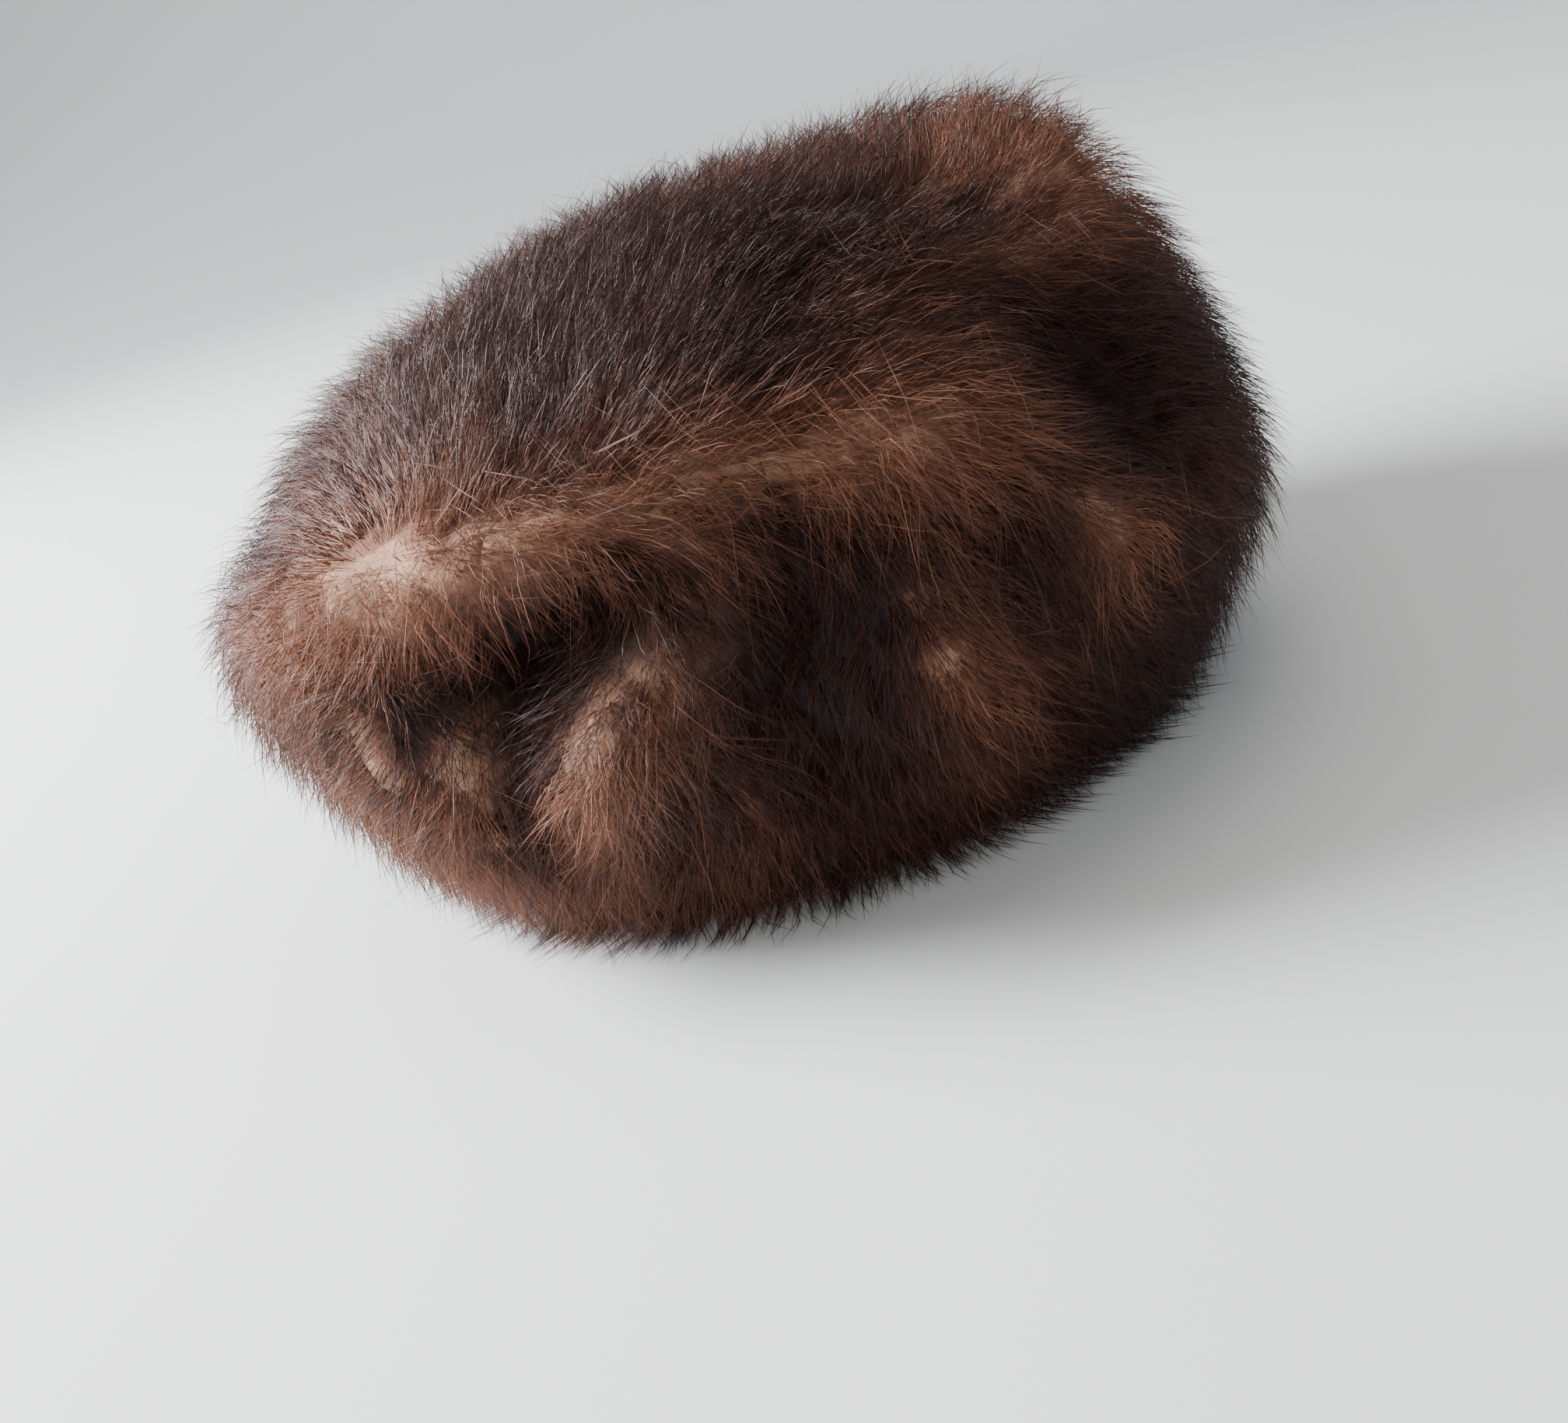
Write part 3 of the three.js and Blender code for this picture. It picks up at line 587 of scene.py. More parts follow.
    def blended(self, rows: Array, reach: float) -> tuple[Array, Array]:
        """A table's values spread over the form by nearness.

        Formula: a row's weight is a Gaussian of its distance over the reach, and a far weight over 1
        and the fourth power of that distance.

        Args:
            rows: Azimuth in degrees, station and values of each row.
            reach: How far a row rules.

        Returns:
            Sums of the values by weight, and of the weights.
        """
        middles = self.base_point(np.radians(rows[:, 0]), rows[:, 1])
        weights = np.zeros((*self.base.shape[:2], 1))
        total = np.zeros((*self.base.shape[:2], rows.shape[1] - 2))
        for middle, values in zip(middles, rows[:, 2:]):
            near = np.linalg.norm(self.base - middle, axis=-1, keepdims=True) / reach
            weight = np.exp(-near * near) + self.sizes.far_weight / (1 + near ** 4)
            weights += weight
            total += weight * values
        return total, weights

    def combed(self) -> Array:
        """Hair directions along the form, from COMBS with swirls.

        Returns:
            Directions at length 1.
        """
        rows = table_of(COMBS)
        rows[:, 2:] = unit(rows[:, 2:])
        total, _ = self.blended(rows, self.sizes.comb_reach)
        way = tangent_to(total, self.normal)
        turn = sum(swirl.at(self.base) for swirl in self.SWIRLS)[..., None]
        return way * np.cos(turn) + np.cross(self.normal, way) * np.sin(turn)

    def bareness(self) -> Array:
        """How far the coat lies open, from PARTINGS with ragged edges."""
        ragged = 1 + self.RAGGED.at(self.base)
        return np.clip(self.BARE_SHARE * self.marks(PARTINGS, self.base) * ragged, 0, self.MOST_BARE)

    def shades(self) -> tuple[Array, Array]:
        """Tone and warmth from SHADES, with mottling, streaks, and painted shade in the folds.

        Returns:
            Both values on the grid, about 0.
        """
        total, weights = self.blended(table_of(SHADES), self.sizes.shade_reach)
        tone, warmth = np.moveaxis(total / weights, -1, 0)
        # Painted light and shade: the creases of STREAKS darken the tone as painted shade, and the
        # folds paint shade into dents and light onto rolls
        tone = tone + self.FLUFF_TONE * self.fluff + self.streaks + self.MOTTLE.at(self.base)
        tone += self.PAINTED_FOLD_SHADING * np.clip(self.lift, *self.LIFT_RANGE) + self.BASE_TONE
        return tone, warmth + self.WARMTH_DRIFT.at(self.base)

    def stations_by_polar(self, stations: Array) -> Array:
        """For each azimuth, the station under each polar angle seen from the crown's core.

        Args:
            stations: Stations of the grid's columns.

        Returns:
            A row of stations for each azimuth.
        """
        radius = np.hypot(self.base[..., 0], self.base[..., 1])
        polar = np.arctan2(radius, self.base[..., 2] - self.sizes.core_z)
        even = np.linspace(0, self.POLAR_MOST, self.POLAR_STEPS)
        return np.stack([np.interp(even, row, stations) for row in polar])

    def cell_areas(self) -> Array:
        """Area of the form round each knot of the grid, in square millimetres."""
        round_ = (np.roll(self.point, -1, 0) - np.roll(self.point, 1, 0)) / 2
        return np.linalg.norm(np.cross(np.gradient(self.point, axis=1), round_), axis=-1)

    def read(self, field: Array, azimuth: Array, second: Array, most: float = 2.0) -> Array:
        """Values of a gridded field at any places, blended from the four nearest knots.

        Args:
            field: Values or vectors on the grid.
            azimuth: Azimuths in radians.
            second: Places along the grid's second axis.
            most: Where that axis ends.

        Returns:
            The field at the places.
        """
        rows, columns = field.shape[:2]
        u = (azimuth / (2 * np.pi)) % 1.0 * rows
        v = np.clip(second / most, 0, 1) * (columns - 1.001)  # stays short of the last column
        i, j = np.floor(u).astype(int), np.floor(v).astype(int)
        f, g = u - i, v - j
        if field.ndim == 3:
            f, g = f[..., None], g[..., None]
        i, k = i % rows, (i + 1) % rows
        upper = field[i, j] * (1 - f) + field[k, j] * f
        lower = field[i, j + 1] * (1 - f) + field[k, j + 1] * f
        return upper * (1 - g) + lower * g

    def surface(self, azimuth: Array, station: Array, height: Array | float) -> Array:
        """Points at a height above the folded form, measured as in the CAD.

        Args:
            azimuth: Azimuths in radians.
            station: Stations.
            height: Heights outwards, in millimetres.

        Returns:
            Points in millimetres.
        """
        height = np.asarray(height, float)
        lift = self.read(self.outward, azimuth, station) * height[..., None]
        return self.read(self.point, azimuth, station) + lift

    def walk(self, azimuth: Array, station: Array, steps: int, stride: float) -> tuple[Array, ...]:
        """Combed paths over the crown.

        Args:
            azimuth: Where each path starts.
            station: Where each path starts.
            steps: How many strides each path takes.
            stride: Length of a stride.

        Returns:
            Azimuths, stations and lengths past the rim, each with a row for every step.
        """
        places = [(azimuth, station, np.zeros_like(azimuth))]
        for _ in range(steps):
            azimuth, station, past = places[-1]
            way = self.read(self.comb, azimuth, station)
            ahead = self.read(self.base, azimuth, station) + stride * way
            turned = np.arctan2(ahead[:, 1], ahead[:, 0])
            polar = np.arctan2(np.hypot(ahead[:, 0], ahead[:, 1]), ahead[:, 2] - self.sizes.core_z)
            reached = self.read(self.station_of, turned, polar, self.POLAR_MOST)
            drop = np.maximum(self.LEAST_DROP, -way[:, 2])
            over = np.where(reached >= self.RIM_STATION, past + stride * drop, 0)
            places.append((turned, reached, over))
        return tuple(np.stack(column) for column in zip(*places))

    def sow(self, pelt: Pelt, per_cm2: float, rng: np.random.Generator) -> tuple[Array, Array]:
        """Even scatter of places over a pelt.

        Formula: a two-dimensional golden sequence, spread over the pelt's area.

        Args:
            pelt: Where to sow.
            per_cm2: Places for each square centimetre.
            rng: Source of the small jitter.

        Returns:
            Azimuths and stations.
        """
        low = round(pelt.start / 360 * self.ROWS)
        high = round(pelt.end / 360 * self.ROWS)
        rows = np.arange(low, high) % self.ROWS
        first, last = (round(edge / 2 * (self.COLUMNS - 1)) for edge in pelt.side.value)
        cells = self.area[rows][:, first:last]
        count = int(cells.sum() / self.MM2_PER_CM2 * per_cm2)
        index = np.arange(count)
        spread = (0.5 + index[:, None] * self.GOLDEN) % 1.0
        jitter = rng.uniform(0, self.SOW_JITTER, spread.shape)
        spread = (spread + jitter / math.sqrt(max(count, 1))) % 1.0
        by_row = np.cumsum(cells.sum(axis=1))
        row = np.searchsorted(by_row / by_row[-1], spread[:, 0])
        row = np.minimum(row, len(rows) - 1)
        flat = np.cumsum(cells)
        start = by_row[row] - cells.sum(axis=1)[row]
        cell = np.searchsorted(flat, start + spread[:, 1] * cells.sum(axis=1)[row])
        column = np.clip(cell - row * cells.shape[1], 0, cells.shape[1] - 1)
        azimuth = (low + row + rng.uniform(0.1, 0.9, count)) * (2 * np.pi / self.ROWS)
        station = (first + column + rng.uniform(0, 1, count)) * (2 / (self.COLUMNS - 1))
        return azimuth, station


@dataclass
class Body:
    """A closed mesh in the making: its points, triangles and point values."""

    points: Array
    triangles: Array
    values: dict[str, Array]

    @staticmethod
    def joined(bodies: Sequence["Body"]) -> "Body":
        """All the bodies as one.

        Args:
            bodies: Bodies with the same point values.

        Returns:
            The one body.
        """
        starts = np.cumsum([0] + [len(body.points) for body in bodies[:-1]])
        triangles = [body.triangles + start for body, start in zip(bodies, starts)]
        names = bodies[0].values
        values = {name: np.concatenate([body.values[name] for body in bodies]) for name in names}
        return Body(np.concatenate([body.points for body in bodies]), np.concatenate(triangles), values)


def shell(outer: Array, inner: Array) -> tuple[Array, Array]:
    """Closed wall between two gridded surfaces.

    Args:
        outer: Grid of points, rows by azimuth and columns down the profile.
        inner: The same grid of the wall's inner face.

    Returns:
        Points and outward triangles, with corners in one place made one.
    """
    rows, columns = outer.shape[:2]
    index = np.arange(rows * columns).reshape(rows, columns)
    second = index + rows * columns

    def quads(a: Array, b: Array, c: Array, d: Array) -> Array:
        """Two triangles for each quad of corners."""
        halves = (np.stack([a, b, c], -1), np.stack([a, c, d], -1))
        return np.concatenate([half.reshape(-1, 3) for half in halves])

    parts = [
        quads(index[:-1, :-1], index[:-1, 1:], index[1:, 1:], index[1:, :-1]),
        quads(second[:-1, :-1], second[1:, :-1], second[1:, 1:], second[:-1, 1:]),
        quads(index[:-1, -1], second[:-1, -1], second[1:, -1], index[1:, -1]),
        quads(second[:-1, 0], index[:-1, 0], index[1:, 0], second[1:, 0]),
        quads(second[0, :-1], second[0, 1:], index[0, 1:], index[0, :-1]),
        quads(index[-1, :-1], index[-1, 1:], second[-1, 1:], second[-1, :-1]),
    ]
    points = np.concatenate([outer.reshape(-1, 3), inner.reshape(-1, 3)])
    triangles = np.concatenate(parts)
    pole = np.linalg.norm(points[:, :2], axis=1) < 1e-6
    keep = np.arange(len(points))
    for layer in (slice(0, rows * columns), slice(rows * columns, None)):
        at_pole = np.flatnonzero(pole[layer]) + (layer.start or 0)
        if len(at_pole):
            keep[at_pole] = at_pole[0]
    triangles = keep[triangles]
    a, b, c = triangles.T
    return points, triangles[(a != b) & (b != c) & (a != c)]


def blades(spine: Array, side: Array, up: Array, radius: float) -> tuple[Array, Array]:
    """Short straight hairs as closed blades: a root point, two corners midway and a tip point.

    Args:
        spine: Three points for each hair, an array of hairs by points by 3. The blade runs straight
            from the first to the last.
        side: Sideways directions, the same shape.
        up: Directions off the coat, the same shape.
        radius: Half width midway, and how far the blade's back stands up there.

    Returns:
        Points and outward triangles.
    """
    root, tip = spine[:, 0], spine[:, 2]
    middle = (root + tip) / 2 + radius * up[:, 1]
    half = radius * side[:, 1]
    left, right = middle + half, middle - half
    turned = np.sum(np.cross(left - root, right - root) * (tip - root), axis=-1) < 0
    left[turned], right[turned] = right[turned].copy(), left[turned].copy()
    points = np.stack([root, left, right, tip], axis=1)
    template = np.array([(0, 2, 1), (0, 1, 3), (1, 2, 3), (0, 3, 2)])
    triangles = np.arange(len(spine))[:, None, None] * 4 + template
    return points.reshape(-1, 3), triangles.reshape(-1, 3)


def spindles(spine: Array, side: Array, up: Array, radius: float, spin: Array) -> tuple[Array, Array]:
    """Hairs as closed spindles: a root point, rings of three corners and a tip point.

    Args:
        spine: Points along each hair, an array of hairs by points by 3.
        side: Sideways directions, the same shape.
        up: Directions off the coat, the same shape.
        radius: Radius of the rings.
        spin: Turn of each hair's rings.

    Returns:
        Points and outward triangles.
    """
    count, knots = spine.shape[:2]
    rings = knots - 2
    corner = spin[:, None, None] + np.arange(3) * (2 * np.pi / 3)
    middle = spine[:, 1:-1, None]
    ring = middle + radius * (
        np.cos(corner)[..., None] * side[:, 1:-1, None] + np.sin(corner)[..., None] * up[:, 1:-1, None]
    )
    points = np.concatenate([spine[:, :1], ring.reshape(count, 3 * rings, 3), spine[:, -1:]], axis=1)
    each = 3 * rings + 2
    template = []
    for a, b in ((0, 1), (1, 2), (2, 0)):
        template.append((0, 1 + b, 1 + a))
        template.append((3 * rings - 2 + a, 3 * rings - 2 + b, each - 1))
        for k in range(rings - 1):
            low, high = 1 + 3 * k, 4 + 3 * k
            template += [(low + a, low + b, high + b), (low + a, high + b, high + a)]
    triangles = np.arange(count)[:, None, None] * each + np.array(template)
    return points.reshape(-1, 3), triangles.reshape(-1, 3)


class PeltBuilder:
    """What the builders of fur and leather share: a grid over a pelt, a little inside its edges."""

    ROW_DEGREES = 2

    def __init__(self, form: HatForm) -> None:
        """Keeps the form, its sizes, and half a gap between pelts in stations.

        Args:
            form: The crown's form.
        """
        self.form = form
        self.sizes = form.sizes
        self.seam = form.sizes.gap / 2 / form.sizes.station_length

    def grid(self, pelt: Pelt, stations: Array) -> tuple[Array, ...]:
        """Grid over a pelt.

        Args:
            pelt: The pelt.
            stations: Stations of the grid's columns.

        Returns:
            Azimuths, stations, distances from the nearer side edge, and turns that bring the side
            edges in by half a gap.
        """
        sizes, rows = self.sizes, round((pelt.end - pelt.start) / self.ROW_DEGREES)
        start, end = np.radians(pelt.start), np.radians(pelt.end)
        azimuth, station = np.meshgrid(np.linspace(start, end, rows + 1), stations, indexing="ij")
        radius = np.linalg.norm(self.form.read(self.form.point, azimuth, station)[..., :2], axis=-1)
        distance = np.minimum(azimuth - start, end - azimuth) * radius
        inset = np.minimum(sizes.gap / 2 / np.maximum(radius, 1), sizes.most_inset)
        inset[1:-1] = 0
        inset[-1] *= -1
        return azimuth, station, distance, inset

    @staticmethod
    def close_pole(layer: Array) -> None:
        """Draws a grid's first column together into one point on the axis."""
        layer[:, 0, :2] = 0
        layer[:, 0, 2] = layer[:, 0, 2].mean()


class FurBuilder(PeltBuilder):
    """Makes a pelt's underfur and its coat of hair, with a combed path for each tuft."""

    # Paths and floor, in millimetres
    STRIDE = 4.0
    STEPS = 12
    PATH_LENGTH = STRIDE * STEPS - 0.01
    FLOOR = 0.35
    FLOOR_SPLAY = 0.8
    # The pad: its columns and height, and how partings, the edge seam and fluff raise it
    PAD_COLUMNS = {Side.TOP: 38, Side.SIDE: 46}
    PAD_HEIGHT = -6.0
    PAD_BARE = 0.6
    PAD_EDGE = 0.6
    EDGE_WIDTH = 0.1
    FLUFF = 1.4
    # Hair lengths: their range, spread by tuft, and shares lost at the rim and in partings
    LENGTHS = (0.5, 1.6)
    TUFT_LENGTH = 0.12
    RIM_STATIONS = (1.62, 1.97)
    RIM_SHORTER = 0.5
    BARE_SHORTER = 0.2
    # How hair leaves its path: in partings, in folds and past the rim
    BARE_CROSSING = 0.5
    BARE_SWAY = 0.5
    MOST_SWAY = 0.8
    CLUMP = 0.5
    FOLD_SINK = 0.06
    DEEPEST = -18
    RISE_POWER = 0.75
    PAST_RISE = 0.3
    # Tone and warmth: paler in partings, and spread by tuft and hair
    BARE_TONE = 0.4
    TUFT_TONE = 0.22
    HAIR_TONE = 0.14
    HAIR_WARMTH = 0.15

    def underfur(self, pelt: Pelt) -> Body:
        """Closed pad of underfur from just above the leather to under the guard hair.

        Args:
            pelt: The pelt.

        Returns:
            The pad, with the tone, warmth and bareness of its points.
        """
        form, sizes = self.form, self.sizes
        on_top = pelt.side is Side.TOP
        stations = np.linspace(*pelt.side.value, self.PAD_COLUMNS[pelt.side])
        stations[stations == 1] += -self.seam if on_top else self.seam
        azimuth, station, _, inset = self.grid(pelt, stations)
        azimuth = azimuth + inset
        bare = form.read(form.bare, azimuth, station)
        edge = ease(station, 1 - self.EDGE_WIDTH, 1) * (1 - ease(station, 1, 1 + self.EDGE_WIDTH))
        fluff = form.read(form.fluff, azimuth, station)
        height = self.PAD_HEIGHT + self.PAD_BARE * bare + self.PAD_EDGE * edge + self.FLUFF * fluff
        outer = form.surface(azimuth, station, height)
        inner = form.surface(azimuth, station, sizes.coat_gap - sizes.fur_depth)
        for layer in (outer, inner):
            layer[..., 2] = np.maximum(layer[..., 2], sizes.hem_clearance)
            if on_top:
                self.close_pole(layer)
        points, triangles = shell(outer, inner)
        fields = {"tone": form.tone, "warmth": form.warmth, "bare": form.bare}
        values = {
            name: np.tile(form.read(field, azimuth, station).ravel(), 2)
            for name, field in fields.items()
        }
        return Body(points, triangles, values)

    def coat(self, pelt: Pelt, kind: Coat, seed: int) -> Body:
        """One kind of hair over a pelt, grown in combed tufts.

        Args:
            pelt: The pelt.
            kind: The kind of hair.
            seed: Seed of all that is random in it.

        Returns:
            The hairs, with the share along the hair, tone, warmth and a random value of each point.
        """
        rng = np.random.default_rng(seed)
        azimuth, station = self.form.sow(pelt, kind.tufts, rng)
        share = np.linspace(0, 1, max(kind.rings, 1) + 2)
        spine, beside, up = self.spines(kind, azimuth, station, share, rng)
        if kind.rings == 0:
            points, triangles = blades(spine, beside, up, kind.thickness / 2)
            corners = [1, 2, 1]
        else:
            spin = rng.uniform(0, 2 * np.pi, len(spine))
            points, triangles = spindles(spine, beside, up, kind.thickness / 2, spin)
            corners = [1] + [3] * kind.rings + [1]
        values = {
            name: np.repeat(each_hair, sum(corners))
            for name, each_hair in self.hair_values(kind, azimuth, station, rng).items()
        }
        values["along"] = np.tile(np.repeat(share, corners), len(spine))
        return Body(points, triangles, values)

    def spines(
        self, kind: Coat, azimuth: Array, station: Array, share: Array, rng: np.random.Generator
    ) -> tuple[Array, Array, Array]:
        """Middle lines of hairs.

        Formula: a hair starts a little way down its tuft's combed path and follows it for its length.
        Over it, height rises as a power of the share along the hair, and sway, curl and splay carry
        it sideways. Some hairs over a parting run back to front.

        Args:
            kind: The kind of hair.
            azimuth: Where each tuft stands.
            station: Where each tuft stands.
            share: Shares along a hair at which its points lie.
            rng: Source of all that is random.

        Returns:
            Points, sideways directions and upward directions, each hairs by points by 3.
        """
        form, tufts, count = self.form, len(azimuth), len(azimuth) * kind.hairs
        paths = form.walk(azimuth, station, self.STEPS, self.STRIDE)
        point, normal = (form.read(field, paths[0], paths[1]) for field in (form.point, form.normal))
        side = unit(np.cross(normal, np.gradient(point, axis=0)))
        bare = form.read(form.bare, azimuth, station)

        def each(values: Array) -> Array:
            """The tufts' values for each of their hairs."""
            return np.repeat(values, kind.hairs)

        length = kind.length * np.clip(1 + kind.length_spread * rng.normal(size=count), *self.LENGTHS)
        by_rim = 1 - self.RIM_SHORTER * ease(station, *self.RIM_STATIONS)
        by_tuft = 1 + self.TUFT_LENGTH * rng.normal(size=tufts)
        length *= each(by_rim * (1 - self.BARE_SHORTER * bare) * by_tuft)
        length = length[:, None]
        crossing = rng.uniform(size=count) < self.BARE_CROSSING * each(bare)
        onward = np.where(crossing[:, None], 1 - share, share)
        arc = rng.uniform(0, 2 * kind.reach, count)[:, None] + length * onward
        arc = np.minimum(arc, self.PATH_LENGTH)
        step = np.floor(arc / self.STRIDE).astype(int)
        part = (arc / self.STRIDE - step)[..., None]
        tuft = each(np.arange(tufts))[:, None]

        def at(field: Array) -> Array:
            """The field of the paths' steps at the hairs' points."""
            return field[step, tuft] * (1 - part) + field[step + 1, tuft] * part

        up, beside, centre = unit(at(normal)), unit(at(side)), at(point)
        past = at(paths[2][..., None])[..., 0]
        sway = (kind.sway + self.BARE_SWAY * bare) * rng.normal(size=tufts)
        sway = each(np.clip(sway, -self.MOST_SWAY, self.MOST_SWAY))[:, None]
        across = rng.normal(size=count)[:, None] * kind.reach / 2 * (1 - (1 - kind.gather) * share)
        across = across + sway * length * share
        across = across + each(kind.curl * rng.normal(size=tufts))[:, None] * length * share ** 2
        across = across + rng.normal(size=count)[:, None] * kind.splay * share ** 2
        clump = self.CLUMP * kind.tip_spread * rng.normal(size=tufts)
        clump += self.FLUFF * form.read(form.fluff, azimuth, station)
        clump += self.FOLD_SINK * np.clip(form.read(form.lift, azimuth, station), self.DEEPEST, 0)
        tip = kind.tip + each(clump) + kind.tip_spread * rng.normal(size=count)
        tip = np.minimum(tip, kind.tip + 2 * kind.tip_spread)[:, None]
        height = kind.root + (tip - kind.root) * share ** self.RISE_POWER + self.PAST_RISE * past
        spine = centre + across[..., None] * beside + height[..., None] * up
        return self.off_floor(spine), beside, up

    def hair_values(
        self, kind: Coat, azimuth: Array, station: Array, rng: np.random.Generator
    ) -> dict[str, Array]:
        """Tone, warmth and a random value of each hair.

        Args:
            kind: The kind of hair.
            azimuth: Where each tuft stands.
            station: Where each tuft stands.
            rng: Source of all that is random.

        Returns:
            One value for each hair, by name.
        """
        tone, warmth, bare = (
            self.form.read(field, azimuth, station)
            for field in (self.form.tone, self.form.warmth, self.form.bare)
        )
        count = len(azimuth) * kind.hairs
        tone = tone + self.BARE_TONE * bare + self.TUFT_TONE * rng.normal(size=len(azimuth))
        return {
            "tone": np.repeat(tone, kind.hairs) + self.HAIR_TONE * rng.normal(size=count) + kind.tone,
            "warmth": np.repeat(warmth, kind.hairs) + self.HAIR_WARMTH * rng.normal(size=count),
            "chance": rng.uniform(size=count),
        }

    def off_floor(self, spine: Array) -> Array:
        """The spines with what would pass the floor bent outwards along it.

        Args:
            spine: Points of the hairs.

        Returns:
            The points, none of them under the floor.
        """
        lack = np.maximum(self.FLOOR - spine[..., 2], 0)[..., None]
        level = unit(spine * (1.0, 1.0, 0.0))
        return spine + level * (self.FLOOR_SPLAY * lack) + lack * (0.0, 0.0, 1.0)


class LeatherBuilder(PeltBuilder):
    """Makes the leather panel under each pelt."""

    COLUMNS = 40

    def panel(self, pelt: Pelt) -> Body:
        """One pelt's leather wall.

        Args:
            pelt: The pelt.

        Returns:
            The smooth closed wall, with how far each point lies from its side seams.
        """
        form, sizes = self.form, self.sizes
        on_top = pelt.side is Side.TOP
        first, last = (0.0, 1 - self.seam) if on_top else (1 + self.seam, 2.0)
        azimuth, station, distance, inset = self.grid(pelt, np.linspace(first, last, self.COLUMNS))
        outer = form.surface(azimuth + inset, station, -sizes.fur_depth)
        inner = form.surface(azimuth + inset, station, -sizes.fur_depth - sizes.leather)
        for layer in (outer, inner):
            if on_top:
                self.close_pole(layer)
            else:
                layer[:, -1, 2] = 0
        points, triangles = shell(outer, inner)
        return Body(points, triangles, {"seam": np.tile(distance.ravel(), 2)})


def linear(colour: str) -> tuple[float, float, float, float]:
    """A #rrggbb colour as linear light.

    Args:
        colour: The colour.

    Returns:
        Red, green, blue and 1.
    """
    parts = [int(colour[k:k + 2], 16) / 255 for k in (1, 3, 5)]
    light = [p / 12.92 if p <= 0.04045 else ((p + 0.055) / 1.055) ** 2.4 for p in parts]
    return (*light, 1.0)


def add_node(
    tree: bpy.types.NodeTree, kind: str, sockets: dict | None = None, stops: Stops = (),
    **settings: object,
) -> bpy.types.Node:
    """Adds a shader node.

    Args:
        tree: The material's nodes.
        kind: Type of the node.
        sockets: An output to link, or a constant, for each input.
        stops: Places and colours of a ramp.
        **settings: Properties of the node.

    Returns:
        The node.
    """
    node = tree.nodes.new(kind)
    for name, value in settings.items():
        setattr(node, name, value)
    for name, value in (sockets or {}).items():
        if isinstance(value, bpy.types.NodeSocket):
            tree.links.new(value, node.inputs[name])
        else:
            node.inputs[name].default_value = value
    if stops:
        ramp = node.color_ramp.elements
        while len(ramp) < len(stops):
            ramp.new(0.5)
        for element, (place, colour) in zip(ramp, stops):
            element.position = place
            element.color = linear(colour)
    return node


@dataclass(frozen=True)
class GuardHairFinish:
    """Glossy guard hair, paler at the root and darkest at the tip."""

    pale: Stops = (
        (0.0, "#b9987f"), (0.45, "#9a755e"), (0.8, "#7a5243"), (1.0, "#54352b"),
    )
    dark: Stops = (
        (0.0, "#4d291e"), (0.4, "#3b1f17"), (0.75, "#281410"), (1.0, "#180b09"),
    )
    # Warmth tint; the mauve end stands partly for painted sheen on the glossy top, as well as the fur's
    # own colour
    warmth: Stops = ((0.0, "#e2c8c9"), (0.5, "#f8e2d8"), (1.0, "#f0ccb8"))
    scatter: float = 0.3
    roughness: float = 0.42
    specular: float = 0.25


@dataclass(frozen=True)
class UnderfurFinish:
    """Dense matt down between the guard hairs and the leather, with its grain and depth in mm."""

    tones: Stops = (
        (0.0, "#160b08"), (0.4, "#3d2018"), (0.75, "#7a503e"), (1.0, "#a58069"),
    )
    bare: str = "#98765e"
    scatter: float = 0.5
    roughness: float = 0.95
    grain: float = 1.6
    relief: float = 0.9
    depth: float = 1.2


@dataclass(frozen=True)
class SuedeFinish:
    """Undyed suede: the flesh side of the pelts, with its clouds, nap, seam line and depth in mm."""

    pale: str = "#c3a784"
    dark: str = "#967653"
    seam: str = "#5f452e"
    roughness: float = 0.92
    sheen: float = 0.2
    cloud: float = 24.0
    nap: float = 0.8
    fleck: float = 0.35
    line: tuple[float, float] = (0.3, 2.4)
    sunk: float = 2.0
    relief: float = 0.5
    depth: float = 0.5


